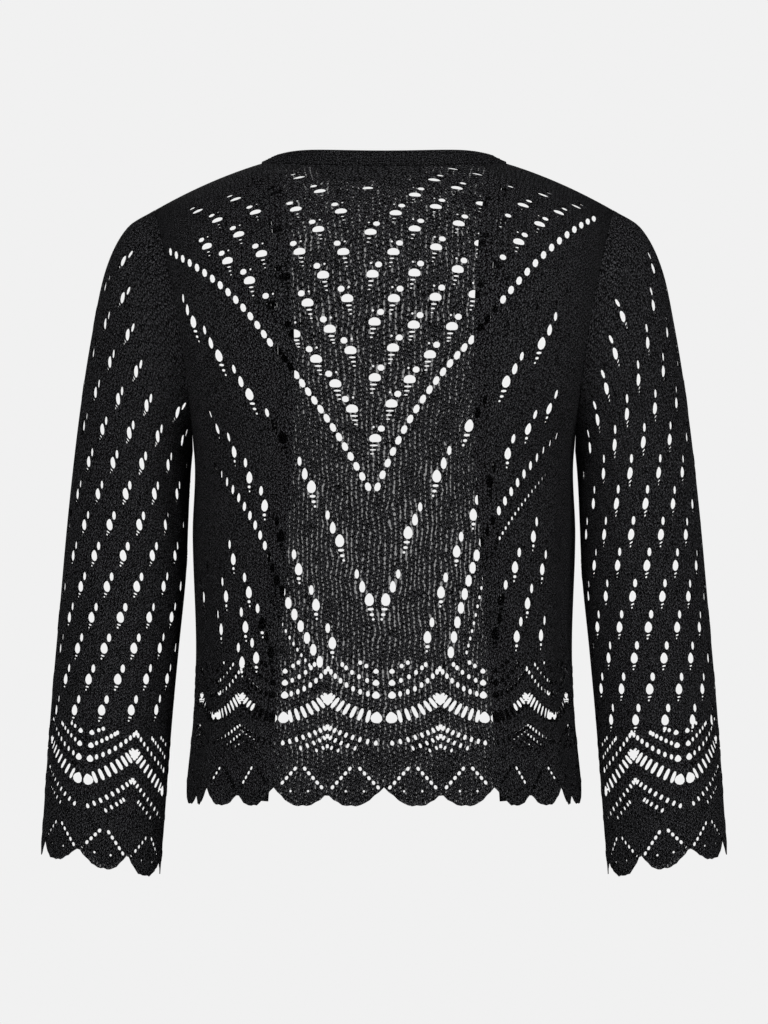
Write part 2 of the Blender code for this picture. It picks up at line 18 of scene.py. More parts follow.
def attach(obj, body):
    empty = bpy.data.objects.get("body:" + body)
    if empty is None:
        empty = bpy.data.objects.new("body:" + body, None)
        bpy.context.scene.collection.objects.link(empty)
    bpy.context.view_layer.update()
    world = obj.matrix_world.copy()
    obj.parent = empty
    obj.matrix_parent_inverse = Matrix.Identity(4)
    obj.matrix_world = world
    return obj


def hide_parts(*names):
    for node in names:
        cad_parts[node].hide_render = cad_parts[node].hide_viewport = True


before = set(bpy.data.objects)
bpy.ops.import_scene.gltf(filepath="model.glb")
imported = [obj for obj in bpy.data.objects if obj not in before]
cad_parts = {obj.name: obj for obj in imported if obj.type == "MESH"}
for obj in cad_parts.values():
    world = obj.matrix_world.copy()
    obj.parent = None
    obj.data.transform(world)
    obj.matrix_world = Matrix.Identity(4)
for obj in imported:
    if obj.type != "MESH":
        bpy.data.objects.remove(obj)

bl_info = {
    "name": "Cropped lace cardigan",
    "version": (1, 0, 0),
    "blender": (4, 5, 0),
    "location": "3D View > Sidebar > Cardigan",
    "description": "Dresses the frame of a cropped cardigan in lace knit",
    "category": "Object",
}

HALF_PI = math.pi / 2
MM = 0.001

# The form, as the CAD part has it
SEAM_GAP = 0.0004
QUARTER_GIRTH = 0.196
BLADE_Z = -0.130
ROLL_LENGTH = 0.200
SHOULDER_SEAM_V = BLADE_Z + ROLL_LENGTH - SEAM_GAP / 2
SQUARENESS = 0.035
SHOULDER_PEAK_Z = 0.0194
SHOULDER_FALL = 1.63
HEM_Z = -0.484
UNDERARM_Z = -0.215
NECK_X = 0.094
NECK_BACK_Z = 0.0015
SHOULDER_X = 0.175
ARMHOLE_SCOOP = 0.005
ARMHOLE_LAP = 0.0014  # of a panel over the sleeve's edge, so that the seam shows closed

RINGS = (  # height, half width, back depth, front depth
    (HEM_Z, 0.1500, 0.100, 0.110),
    (-0.375, 0.1440, 0.094, 0.113),
    (-0.280, 0.1465, 0.099, 0.119),
    (UNDERARM_Z, 0.1455, 0.105, 0.117),
    (-0.165, 0.1590, 0.109, 0.108),
    (-0.110, 0.1710, 0.108, 0.098),
    (0.070, 0.1810, 0.104, 0.092),
)
FRONT_EDGES = (  # height, distance out
    (HEM_Z, 0.101),
    (-0.330, 0.090),
    (-0.200, 0.083),
    (-0.100, 0.083),
    (-0.030, 0.088),
    (0.005, NECK_X),
)
SLEEVE = (  # along, outer x, outer z, inner x, inner z, half depth
    (0.000, 0.1750, -0.0305, 0.1458, -0.215, 0.0560),
    (0.022, 0.1960, -0.0440, 0.1464, -0.221, 0.0560),
    (0.055, 0.2120, -0.0740, 0.1474, -0.232, 0.0545),
    (0.095, 0.2220, -0.1180, 0.1484, -0.248, 0.0520),
    (0.150, 0.2320, -0.1800, 0.1494, -0.272, 0.0495),
    (0.215, 0.2410, -0.2570, 0.1512, -0.312, 0.0485),
    (0.290, 0.2485, -0.3400, 0.1568, -0.368, 0.0485),
    (0.370, 0.2550, -0.4150, 0.1625, -0.431, 0.0480),
    (0.481, 0.2626, -0.5235, 0.1708, -0.5410, 0.0465),
)
SLEEVE_LENGTH = SLEEVE[-1][0]
SLEEVE_HANG_END = SLEEVE[3][0]
SLEEVE_ROUND = 0.049
HALF_ROUND = math.pi * SLEEVE_ROUND
SLEEVE_CREASE = 0.0022
CREASE_ANGLE = 2.45
CREASE_WIDTH = 0.22

Scallop = namedtuple("Scallop", "period first_trough deep_notch small_notch")
HEM_SCALLOP = Scallop(QUARTER_GIRTH / 3, 0.0, 0.014, 0.009)
CUFF_SCALLOP = Scallop(0.084, -0.019, 0.012, 0.014)
NOTCH_ENDS = 0.42
NOTCH_POWER = 1.3
SMALL_NOTCH_STARTS = 0.66
SMALL_NOTCH_POWER = 1.5

Fold = namedtuple("Fold", "round_at width depth low high")
FOLDS = (
    Fold(0.150, 0.013, 0.0030, -0.470, -0.250),
    Fold(0.176, 0.010, 0.0024, -0.400, -0.225),
    Fold(0.118, 0.014, 0.0016, -0.484, -0.380),
)
FOLD_START = 0.05
FOLD_FADE = 0.06
HEM_WAVE = 0.0022
HEM_WAVE_HEIGHT = 0.075

BAND_WIDTH = 0.0128
BAND_RIDGE = 0.0008
BAND_RIDGES = 5
BAND_WALL = 0.0022
BAND_STITCH = 0.45  # of a ridge's height, between its stitches
BAND_LEAN = 0.43
BAND_SHOULDER_LEAN = 2.0
BAND_LEAN_POWER = 5
SAME_PLACE = 0.0001
BAND_TURN_Z = -0.060

# Soft creases of the cloth that the CAD form leaves out, each a long trough along a line
Crease = namedtuple("Crease", "u v lean width length depth")
BACK_CREASES = (
    Crease(0.136, -0.262, 0.30, 0.0070, 0.050, 0.0014),
    Crease(-0.140, -0.268, -0.26, 0.0070, 0.048, 0.0014),
    Crease(0.118, -0.205, 0.55, 0.0080, 0.040, 0.0011),
    Crease(-0.121, -0.208, -0.52, 0.0080, 0.040, 0.0011),
    Crease(0.086, -0.395, -0.12, 0.0090, 0.060, 0.0010),
    Crease(-0.092, -0.402, 0.10, 0.0090, 0.058, 0.0010),
)
FRONT_CREASES = (
    Crease(0.128, -0.240, 0.28, 0.0080, 0.055, 0.0013),
    Crease(0.148, -0.330, 0.10, 0.0080, 0.060, 0.0011),
)
SLEEVE_CREASES = (
    Crease(0.118, 0.330, -0.35, 0.0070, 0.045, 0.0014),
    Crease(0.104, 0.245, -0.25, 0.0080, 0.040, 0.0010),
    Crease(0.052, 0.290, 0.22, 0.0080, 0.045, 0.0008),
    Crease(-0.112, 0.320, 0.30, 0.0080, 0.045, 0.0014),
    Crease(-0.060, 0.210, -0.20, 0.0080, 0.045, 0.0009),
)

# A hole's outline: how square its top and bottom are, how much its top narrows, and its points
Shape = namedtuple("Shape", "top bottom taper points")
SHAPES = {
    "dome": Shape(2.0, 3.4, 0.12, 12),
    "drop": Shape(2.0, 2.2, 0.50, 12),
    "egg": Shape(2.0, 2.2, 0.28, 12),
    "bead": Shape(2.1, 2.1, 0.10, 8),
    "slot": Shape(2.8, 2.8, 0.12, 8),
    "slit": Shape(2.4, 2.4, 0.0, 6),
    "dot": Shape(2.0, 2.0, 0.0, 6),
}

# One hole of a motif, in millimetres from the motif's place. Out is away from the lace's centre.
Bit = namedtuple("Bit", "out up width height shape")
MOTIFS = {
    "pair": (
        Bit(0.0, 0.0, 9.4, 6.3, "dome"),
        Bit(4.6, 7.2, 5.6, 4.9, "bead"),
        Bit(-1.2, -5.6, 6.6, 1.5, "slit"),
        Bit(-1.9, -8.9, 5.0, 1.3, "slit"),
        Bit(-2.5, -12.0, 3.2, 1.1, "slit"),
        Bit(-1.2, 8.4, 1.8, 1.8, "dot"),
    ),
    "slit": (
        Bit(0.0, 0.0, 8.4, 4.4, "dome"),
        Bit(-0.6, -4.6, 3.0, 1.4, "slit"),
    ),
    "bead": (Bit(0.0, 0.0, 4.9, 7.0, "bead"),),
    "small_bead": (Bit(0.0, 0.0, 3.9, 7.4, "bead"),),
    "long_bead": (Bit(0.0, 0.0, 5.3, 9.2, "bead"),),
    "tiny_bead": (Bit(0.0, 0.0, 2.1, 3.2, "dot"),),
    "triple": (
        Bit(0.0, 0.0, 7.2, 9.8, "egg"),
        Bit(5.3, 9.8, 4.7, 9.0, "egg"),
        Bit(9.4, 19.4, 3.5, 7.2, "bead"),
        Bit(-1.0, -7.3, 5.0, 2.2, "slit"),
        Bit(-1.9, -11.4, 3.5, 2.3, "slit"),
        Bit(-3.0, -15.0, 2.2, 2.0, "dot"),
    ),
    "twin": (
        Bit(0.0, 0.0, 6.2, 9.4, "egg"),
        Bit(3.4, 11.2, 3.9, 7.6, "bead"),
        Bit(0.0, -7.2, 3.4, 2.5, "slit"),
        Bit(-0.5, -10.6, 1.9, 1.8, "dot"),
    ),
    "lattice": (
        Bit(0.0, 0.0, 6.2, 8.4, "egg"),
        Bit(-3.2, 8.7, 3.7, 6.6, "bead"),
        Bit(0.6, -6.0, 3.2, 1.3, "slit"),
        Bit(1.4, -8.4, 1.7, 1.5, "dot"),
    ),
}

BEAD_LEAN = 0.28
FLAT_AT = (-0.095, -0.050, 0.000)  # heights up the back's cloth
FLAT_SHARE = (1.0, 0.74, 0.46)  # and how tall the holes are there
SLITS_AT = (-0.190, -0.090, -0.040)
SLITS_SHARE = (1.0, 0.62, 0.35)  # and how wide the slits under the holes are
LEAST_SLIT = 0.0016

# A line of motifs on the body, in millimetres: number i lies at u + du * i + bend_u * i * i, and v
# in the same way. Side is 1 on the wearer's left.
Arm = namedtuple("Arm", "motif side u v du dv bend_u bend_v count", defaults=(0, 0, 0, 0, 1))
BODY_ARMS = (
    Arm("slit", -1, 7.6, -28.0),
    Arm("pair", -1, 6.4, -65.1),
    Arm("pair", -1, -5.5, -50.6, -9.1, 16.0, 0.0, 0.6, 4),
    Arm("pair", 1, 20.5, -48.0, 10.2, 20.8, 0.0, 0.0, 3),
    Arm("pair", -1, 5.5, -92.7),
    Arm("pair", -1, -4.5, -78.7, -10.0, 15.2, -0.05, 1.2, 5),
    Arm("pair", 1, 19.5, -78.1, 12.6, 16.2, -0.43, 1.0, 5),
    Arm("pair", -1, 4.6, -120.6),
    Arm("pair", -1, -4.8, -107.2, -9.5, 14.6, -0.32, 0.86, 6),
    Arm("pair", 1, 17.8, -107.0, 11.8, 13.7, 0.03, 0.95, 6),
    Arm("pair", -1, 4.7, -159.6),
    Arm("pair", -1, -4.5, -137.1, -9.85, 14.06, -0.229, 0.737, 8),
    Arm("pair", 1, 16.8, -139.0, 9.63, 13.82, 0.459, 0.608, 8),
    Arm("pair", -1, 4.9, -205.6),
    Arm("pair", -1, -4.0, -179.4, -8.95, 18.2, -0.337, 0.20, 10),
    Arm("pair", 1, 17.3, -183.3, 7.64, 19.31, 0.606, -0.208, 8),
    Arm("bead", -1, 3.7, -242.5, -2.854, 9.305, -0.025, -0.127, 16),
    Arm("bead", -1, -49.2, -123.6, -3.746, 5.526, -0.121, 0.147, 16),
    Arm("bead", 1, 9.1, -242.4, 3.382, 7.871, -0.019, -0.068, 16),
    Arm("bead", 1, 60.3, -133.2, 3.001, 5.772, 0.202, 0.0, 18),
    Arm("triple", 1, 8.4, -327.7, 16.6, 46.5, 0.30, -1.91, 7),
    Arm("triple", -1, -1.0, -327.7),
    Arm("triple", -1, -13.6, -277.0, -16.3, 45.0, -0.74, -2.30, 5),
    Arm("twin", 1, 30.2, -360.5, 9.33, 29.81, 0.48, -0.95, 8),
    Arm("twin", -1, -25.2, -356.1, -7.21, 35.50, -0.71, -1.54, 8),
    Arm("long_bead", 1, 37.9, -374.7, 4.06, 9.08, 0.0, -0.04, 8),
    Arm("small_bead", 1, 69.1, -303.7, 2.17, 8.78, 0.29, -0.17, 12),
    Arm("long_bead", -1, -39.5, -367.6, -1.93, 11.74, -0.05, -0.18, 8),
    Arm("small_bead", -1, -58.6, -284.3, -3.78, 8.38, -0.18, -0.14, 13),
    Arm("tiny_bead", 1, 44.4, -377.3, 2.64, 3.51, 0.0, 0.13, 11),
    Arm("tiny_bead", -1, -49.7, -367.7, -1.18, 4.97, 0.0, 0.14, 12),
    Arm("tiny_bead", -1, -66.1, -293.0, -1.69, 4.03, -0.08, -0.03, 18),
    Arm("twin", 1, 71.6, -367.6, 4.79, 21.09, 1.97, 0.80, 4),
    Arm("twin", 1, 83.6, -371.8, 4.29, 23.36, 5.24, -0.08, 4),
    Arm("twin", 1, 96.7, -375.4, 17.71, 25.46, 6.48, -0.38, 3),
    Arm("twin", -1, -69.7, -353.5, -1.14, 26.36, -3.18, -0.61, 4),
    Arm("twin", -1, -87.8, -355.7, -6.96, 24.70, -2.70, 0.38, 3),
    Arm("twin", -1, -113.3, -354.9),
)

# The border over a scalloped edge: rows of holes between a trough at 0 and a peak at 1, at heights
# above the tips in millimetres. A row's first hole is as large as the last two columns say.
Row = namedtuple("Row", "first last above rise power count width height wide high shape")
HEM_ROWS = (
    Row(0.14, 1.00, 84.0, 20.0, 2.3, 9, 3.0, 4.4, 6.2, 5.6, "bead"),
    Row(0.14, 0.74, 93.0, 26.0, 2.0, 6, 3.0, 3.8, 5.4, 4.6, "bead"),
    Row(0.14, 0.42, 99.0, 23.0, 1.0, 3, 3.2, 3.4, 4.4, 3.8, "bead"),
    Row(0.13, 1.00, 67.0, 15.0, 2.0, 9, 3.3, 10.0, 9.4, 8.8, "slot"),
    Row(0.14, 1.00, 47.5, 12.5, 1.6, 9, 2.5, 4.2, 3.2, 4.0, "slot"),
    Row(0.50, 1.00, 40.5, 12.5, 1.8, 6, 2.2, 3.8, 2.2, 3.8, "slot"),
    Row(0.80, 1.00, 36.0, 9.5, 1.8, 3, 2.0, 3.2, 2.0, 3.2, "slot"),
)
CUFF_ROWS = (
    Row(0.12, 1.00, 81.0, 27.0, 1.6, 10, 3.0, 4.2, 6.0, 5.4, "bead"),
    Row(0.12, 0.62, 90.5, 28.0, 1.3, 7, 2.9, 3.6, 5.2, 4.4, "bead"),
    Row(0.12, 0.34, 100.0, 20.0, 1.0, 3, 3.0, 3.2, 4.6, 4.0, "bead"),
    Row(0.11, 1.00, 64.5, 27.0, 1.4, 10, 3.3, 9.6, 9.0, 8.6, "slot"),
    Row(0.14, 1.00, 43.5, 27.0, 1.3, 10, 2.5, 4.2, 3.0, 4.0, "slot"),
    Row(0.50, 0.84, 34.0, 26.0, 1.3, 5, 2.2, 3.6, 2.2, 3.6, "slot"),
)
ROW_TIGHTENS = 1.35  # of a row's spacing towards the peak
CHEVRON_HOLES = 5
CHEVRON_FIRST = 0.09  # of the half period, out from the middle of a lobe
CHEVRON_LAST = 0.40
CHEVRON_TOP = 28.5
CHEVRON_FALL = 14.0
CHEVRON_SIZE = (2.7, 3.4)
CHEVRON_LEAN = 0.5
LOBE_DOT_OUT = 0.16
LOBE_DOT_ABOVE = 11.5
LOBE_DOT_SIZE = 1.9

# The lattice of a sleeve: level rows, each moved round by the lean
Lattice = namedtuple("Lattice", "first_z lean phase turned")
LATTICES = {1: Lattice(-0.0829, 0.0109, 0.0005, 1), -1: Lattice(-0.0904, 0.0104, 0.0058, -1)}
LATTICE_ACROSS = 0.0243
LATTICE_DOWN = 0.0235
LATTICE_TILT = 0.36  # how far the top rows fall for each metre round
LATTICE_LEVEL_BELOW = -0.250
LATTICE_TILTED_ABOVE = -0.120
LATTICE_TILT_ROUND = 0.065
LATTICE_TOP_V = 0.451
LATTICE_ROWS = 15
LATTICE_COLUMNS = 16

# The shell of a panel
EDGE_STEP = 0.0026
SEAM_STEP = 0.0050
RIM_STEP = 0.0015  # along the edges that meet a band
ARMHOLE_STEP = 0.045  # of the angle round it
EDGE_POINTS = 0.001  # between the places on an edge that a hole keeps clear of
FILL_ROW = 0.87
FILL_CLEAR = 0.55  # of the spacing, between a filling point and any other
RING_CLEAR = 0.00042
HOLE_MARGIN = 0.0013  # of cloth between a hole and the edge of its panel
SEAM_CLEAR = 0.004  # between a seam and the middle of a hole
FRONT_FIRST_U = 0.05
RING_OFFSETS = (0.0005, 0.0013)
RIM_AT = (0.0, 0.0005, 0.0013, 0.0030)  # distances from an edge
RIM_OUT = (-0.00025, 0.00036, 0.00012, 0.0)  # how far the cloth stands out there
RIM_WALL = (-0.0005, 0.0004, 0.0001, 0.0)  # and how much thicker it is
NEAR_MOST = 0.02
SHARP_ANGLE = math.radians(65)
RATE_STEP = 0.0004
PICOT = 0.00045
PICOT_PITCH = 0.0042

PORE_HALF_WIDTH = 0.00036
PORE_HALF_HEIGHT = 0.00105
PORE_FADE = 0.005  # distance from a hole over which the pores close by half
PORE_CLEAR = 0.54  # of the light gets past the loose fibres of a pore
PORE_LEAST = 0.36  # of their size, far from a hole
CLOSED_SHARE = 0.25  # of the blotches, where no pore opens
CHANCE_MORE = 1.3  # a pore's size goes up by chance, from the least
CHANCE_LEAST = 0.2
LOOSE_V = -0.300  # the loose cloth in the middle of the body
LOOSE_ROUND = 0.075
LOOSE_UP = 0.080
LOOSE_MORE = 0.8
FIRM_UP = 0.034  # the firm cloth over the hem
FIRM_LESS = 0.75

# The yarn: scale, detail and roughness of the noises, and the painted shade and painted highlights of
# the stitches and fibres
WANDER_NOISE = (38.0, 4.0, 0.62)
BLOTCH_NOISE = (90.0, 2.0, 0.5)
FUZZ_NOISE = (1050.0, 3.0, 0.7)
STITCH_SLANT = 0.75
STITCH_SPLIT = 0.45
FUZZ_CONTRAST = 9.0
FUZZ_RELIEF = 0.9
# How far the stitch height raises the painted highlights on the fibres, and the least of them
PAINTED_GLINT_RISE = 1.15
PAINTED_GLINT_LEAST = 0.05
PAINTED_SHADE_SHARE = 0.03  # of the yarn's colour, painted shade between the fibres
# of the yarn's colour, painted highlights on the raised fibres
PAINTED_HIGHLIGHT_SHARE = 18.0
NODES_A_ROW = 12

# The view: the height of its middle, the depth that fits it, and how much height shows there. The
# holes of the hidden cloth are found by small steps.
VIEW_Z = -0.2614
VIEW_DEPTH = 0.05
VIEW_HEIGHT = 0.7783
LEAST_SEEN_AREA = 0.2
MOST_MOVED = 0.012


def smooth_rows(rows, at):
    """A table's rows at values of its first column, along smooth curves through the rows."""
    table = np.array(rows)
    keys = table[:, 0]
    at = np.clip(at, keys[0], keys[-1])
    k = np.clip(np.searchsorted(keys, at, side="right") - 1, 0, len(keys) - 2)
    numbers = np.arange(len(keys))
    lower = np.maximum(numbers - 1, 0)
    upper = np.minimum(numbers + 1, len(keys) - 1)
    slopes = (table[upper] - table[lower]) / (keys[upper] - keys[lower])[:, None]
    span = (keys[k + 1] - keys[k])[..., None]
    t = (at - keys[k])[..., None] / span
    return (
        (2 * t**3 - 3 * t**2 + 1) * table[k]
        + (t**3 - 2 * t**2 + t) * span * slopes[k]
        + (3 * t**2 - 2 * t**3) * table[k + 1]
        + (t**3 - t**2) * span * slopes[k + 1]
    )


def ramp(low, high, at):
    """0 below low, 1 above high and a smooth step between."""
    t = np.clip((at - low) / (high - low), 0.0, 1.0)
    return t * t * (3 - 2 * t)


def squared_sin(angle):
    return (np.sin(angle) + SQUARENESS * np.sin(3 * angle)) / (1 - SQUARENESS)


def squared_cos(angle):
    return (np.cos(angle) - SQUARENESS * np.cos(3 * angle)) / (1 - SQUARENESS)


def squared_angle(value):
    """The angle whose squared_sin is value."""
    value = np.clip(value, -1.0, 1.0)
    sine = value
    for _ in range(8):
        found = (sine + SQUARENESS * (3 * sine - 4 * sine**3)) / (1 - SQUARENESS)
        rate = (1 + SQUARENESS * (3 - 12 * sine**2)) / (1 - SQUARENESS)
        sine = np.clip(sine - (found - value) / rate, -1.0, 1.0)
    return np.arcsin(sine)


def shoulder_z(x):
    return SHOULDER_PEAK_Z - SHOULDER_FALL * x * x


def fold_depth(u, v):
    """How far the soft folds and the hem's waves move the cloth out."""
    moved = 0.0
    for fold in FOLDS:
        across = (np.abs(u) - fold.round_at) / fold.width
        started = ramp(fold.low, fold.low + FOLD_START, v)
        faded = ramp(fold.high - FOLD_FADE, fold.high, v)
        moved = moved - fold.depth * np.exp(-across * across) * started * (1 - faded)
    near_hem = 1 - ramp(HEM_Z, HEM_Z + HEM_WAVE_HEIGHT, v)
    return moved + HEM_WAVE * near_hem * np.cos(2 * math.pi * u / HEM_SCALLOP.period)


def body_points(places, face):
    """Points of the body's outer side. face is 1 on the back and -1 on the front."""
    u, v = places[:, 0], places[:, 1]
    rings = smooth_rows(RINGS, v)
    half_width = rings[:, 1]
    depth = rings[:, 2] if face > 0 else rings[:, 3]
    angle = HALF_PI * u / QUARTER_GIRTH
    moved = 1 + fold_depth(u, v) / half_width
    x = half_width * squared_sin(angle) * moved
    y = depth * squared_cos(angle) * moved
    roll = HALF_PI * np.maximum(v - BLADE_Z, 0.0) / ROLL_LENGTH
    rolled = BLADE_Z + (shoulder_z(x) - BLADE_Z) * squared_sin(roll)
    z = np.where(v <= BLADE_Z, v, rolled)
    return np.stack([x, face * y * np.where(v <= BLADE_Z, 1.0, squared_cos(roll)), z], axis=1)


def body_places(x, z):
    """u and v of the cloth that shows at x and z, seen from straight behind or in front."""
    x, z = np.asarray(x, float), np.asarray(z, float)
    share = (z - BLADE_Z) / (shoulder_z(x) - BLADE_Z)
    rolled = BLADE_Z + ROLL_LENGTH * squared_angle(share) / HALF_PI
    v = np.where(z > BLADE_Z, rolled, z)
    half_width = smooth_rows(RINGS, v)[..., 1]
    return np.stack([QUARTER_GIRTH * squared_angle(x / half_width) / HALF_PI, v], axis=-1)


def armhole_places(angle):
    """x and z of the armhole on the wearer's left, from 0 at the shoulder to pi underarm."""
    share = (1 - np.cos(angle)) / 2
    underarm_x = smooth_rows(RINGS, np.array(UNDERARM_Z))[1]
    top_z = shoulder_z(SHOULDER_X)
    x = SHOULDER_X + (underarm_x - SHOULDER_X) * share - ARMHOLE_SCOOP * np.sin(angle) ** 2
    return x, top_z + (UNDERARM_Z - top_z) * share


def section_points(sections, angle):
    """Points of a sleeve's sections, with y as the distance from their middle plane."""
    _, outer_x, outer_z, inner_x, inner_z, half_depth = sections.T
    x = (outer_x + inner_x) / 2 + (outer_x - inner_x) / 2 * np.cos(angle)
    z = (outer_z + inner_z) / 2 + (outer_z - inner_z) / 2 * np.cos(angle)
    return np.stack([x, half_depth * np.sin(angle), z], axis=1)


def sleeve_points(places):
    """Points of the left sleeve's outer side."""
    u, v = places[:, 0], places[:, 1]
    angle = np.clip(np.abs(u) / SLEEVE_ROUND, 0.0, math.pi)
    face = np.where(u < 0, -1.0, 1.0)
    along = SLEEVE_LENGTH - v
    points = section_points(smooth_rows(SLEEVE, along), angle)
    hang = ramp(0.0, SLEEVE_HANG_END, along)
    x, z = armhole_places(angle)
    at = body_places(x, z)
    back, front = body_points(at, 1), body_points(at, -1)
    hole_y = np.where(face > 0, back[:, 1], -front[:, 1])
    hole = np.stack([x + SEAM_GAP, hole_y, z], axis=1)
    first = section_points(np.repeat(np.array(SLEEVE[:1]), len(u), axis=0), angle)
    points = points + (hole - first) * (1 - hang)[:, None]
    across = (angle - CREASE_ANGLE) / CREASE_WIDTH
    points[:, 1] -= SLEEVE_CREASE * np.exp(-across * across) * hang
    points[:, 1] *= face
    return points


def scallop_lift(scallop, u):
    """How far a scalloped edge lies above the tips of its scallops."""
    turn = np.mod((u - scallop.first_trough) / (scallop.period / 2), 2)
    share = np.minimum(turn, 2 - turn)
    deep = np.maximum(0.0, 1 - share / NOTCH_ENDS) ** NOTCH_POWER
    small = np.maximum(0.0, (share - SMALL_NOTCH_STARTS) / (1 - SMALL_NOTCH_STARTS))
    return scallop.deep_notch * deep + scallop.small_notch * small**SMALL_NOTCH_POWER


def cuff_lift(u):
    """The same for a cuff, in the sleeve's own u."""
    return scallop_lift(CUFF_SCALLOP, np.abs(u) - SLEEVE_ROUND * HALF_PI)


def picots(u):
    return PICOT * (1 + np.sin(2 * math.pi * u / PICOT_PITCH))


def surface_frame(surface, places):
    """Points, normals and the rates along u and v at places on a surface."""
    step_u = np.array([RATE_STEP, 0.0])
    step_v = np.array([0.0, RATE_STEP])
    points = surface(places)
    along_u = (surface(places + step_u) - surface(places - step_u)) / (2 * RATE_STEP)
    along_v = (surface(places + step_v) - surface(places - step_v)) / (2 * RATE_STEP)
    normals = np.cross(along_u, along_v)
    normals /= np.linalg.norm(normals, axis=1)[:, None]
    rates = np.linalg.norm(along_u, axis=1), np.linalg.norm(along_v, axis=1)
    return points, normals, rates


def stepped(start, end, step):
    """Evenly spaced values from start up to, and without, end."""
    count = max(1, round(abs(end - start) / step))
    return start + (end - start) * np.arange(count) / count


def joined(*parts):
    return np.concatenate([np.atleast_2d(part) for part in parts])


def pairs(first, second):
    first, second = np.broadcast_arrays(first, second)
    return np.stack([first, second], axis=-1)


def hem_to_neck(start_u):
    """A body panel's left edge, from the hem at start_u, up the side and in to the neck point."""
    side_u = QUARTER_GIRTH - SEAM_GAP / 2
    hem_u = stepped(start_u, side_u, EDGE_STEP)
    hem_end = HEM_Z + scallop_lift(HEM_SCALLOP, side_u)
    angles = math.pi - stepped(0, math.pi, ARMHOLE_STEP)[1:]
    armhole = body_places(*armhole_places(angles))
    armhole[:, 0] += ARMHOLE_LAP * np.sin(angles)
    shoulder_u = body_places(SHOULDER_X, shoulder_z(SHOULDER_X))[0]
    neck_u = body_places(NECK_X, shoulder_z(NECK_X))[0]
    return joined(
        pairs(hem_u, HEM_Z + scallop_lift(HEM_SCALLOP, hem_u) + picots(hem_u)),
        pairs(side_u, stepped(hem_end, UNDERARM_Z, SEAM_STEP)),
        pairs(side_u, UNDERARM_Z),
        armhole,
        pairs(stepped(shoulder_u, neck_u, SEAM_STEP), SHOULDER_SEAM_V),
    )


def cloth_places(x, z):
    """x and z in u and v, none of them beyond the shoulder seam."""
    places = body_places(x, z)
    places[:, 1] = np.minimum(places[:, 1], SHOULDER_SEAM_V)
    return places


def neck_line(step):
    """x and z along the back of the neck, from its centre to the neck point."""
    x = np.append(stepped(0, NECK_X, step), NECK_X)
    return x, NECK_BACK_Z + (shoulder_z(NECK_X) - NECK_BACK_Z) * (x / NECK_X) ** 2


def front_edge_x(z):
    return smooth_rows(FRONT_EDGES, np.asarray(z, float))[..., 1]


def front_line(step):
    """x and z down the front edge, from the neck point to the hem."""
    foot_u = body_places(front_edge_x(HEM_Z), HEM_Z)[0]
    foot_z = HEM_Z + scallop_lift(HEM_SCALLOP, foot_u)
    z = np.append(stepped(shoulder_z(NECK_X), foot_z, step), foot_z)
    return front_edge_x(z), z


def back_outline():
    x, z = neck_line(RIM_STEP)
    left = joined(hem_to_neck(0), cloth_places(x[::-1], z[::-1]))
    right = left[-2:0:-1] * (-1, 1)
    return joined(left, right)


def front_outline():
    """The left front, from the foot of its front edge round to the neck point."""
    x, z = front_line(RIM_STEP)
    foot_u = body_places(x[-1], z[-1])[0]
    return joined(hem_to_neck(foot_u), cloth_places(x[:-1], z[:-1]))


def sleeve_outline():
    """The whole tube, cut along its inner line."""
    reach = HALF_ROUND - SEAM_GAP / 2
    u = stepped(-reach, reach, EDGE_STEP)
    end = cuff_lift(reach)
    return joined(
        pairs(u, cuff_lift(u) + picots(u)),
        pairs(reach, stepped(end, SLEEVE_LENGTH, SEAM_STEP)),
        pairs(stepped(reach, -reach, EDGE_STEP), SLEEVE_LENGTH),
        pairs(-reach, stepped(SLEEVE_LENGTH, end, SEAM_STEP)),
    )


# A panel: how its outline and surface are worked out, and the height under which its edge is open
Panel = namedtuple("Panel", "outline surface creases open_below")
BACK = Panel(back_outline, lambda p: body_points(p, 1), BACK_CREASES, HEM_Z + 0.02)
FRONT = Panel(front_outline, lambda p: body_points(p, -1), FRONT_CREASES, HEM_Z + 0.02)
SLEEVE_TUBE = Panel(sleeve_outline, sleeve_points, SLEEVE_CREASES, 0.03)

# A hole in cloth measures: its place, true size, lean and shape
Hole = namedtuple("Hole", "u v width height lean shape")


def motif_holes(motif, side, u, v, surface):
    """The holes of one motif at a place, with out towards side."""
    _, _, (rate_u, rate_v) = surface_frame(surface, np.array([[u, v]]))
    flat = slit = 1.0
    if motif in ("pair", "slit"):
        flat = float(np.interp(v, FLAT_AT, FLAT_SHARE))
        slit = float(np.interp(v, SLITS_AT, SLITS_SHARE))
    made = []
    for bit in MOTIFS[motif]:
        at_u = u + side * bit.out * MM / rate_u[0]
        at_v = v + bit.up * (1 + flat) / 2 * MM / rate_v[0]
        lean = -side * BEAD_LEAN if motif == "bead" else 0.0
        width = bit.width * (slit if bit.shape == "slit" else 1.0) * MM
        if width > LEAST_SLIT:
            made.append(Hole(at_u, at_v, width, bit.height * flat * MM, lean, bit.shape))
    return made


def body_holes():
    """The motifs of the body as the back has them."""
    made = []
    for arm in BODY_ARMS:
        for i in range(arm.count):
            u = (arm.u + arm.du * i + arm.bend_u * i * i) * MM
            v = (arm.v + arm.dv * i + arm.bend_v * i * i) * MM
            if v < SHOULDER_SEAM_V - SEAM_CLEAR and abs(u) < QUARTER_GIRTH:
                made += motif_holes(arm.motif, arm.side, u, v, BACK.surface)
    return made


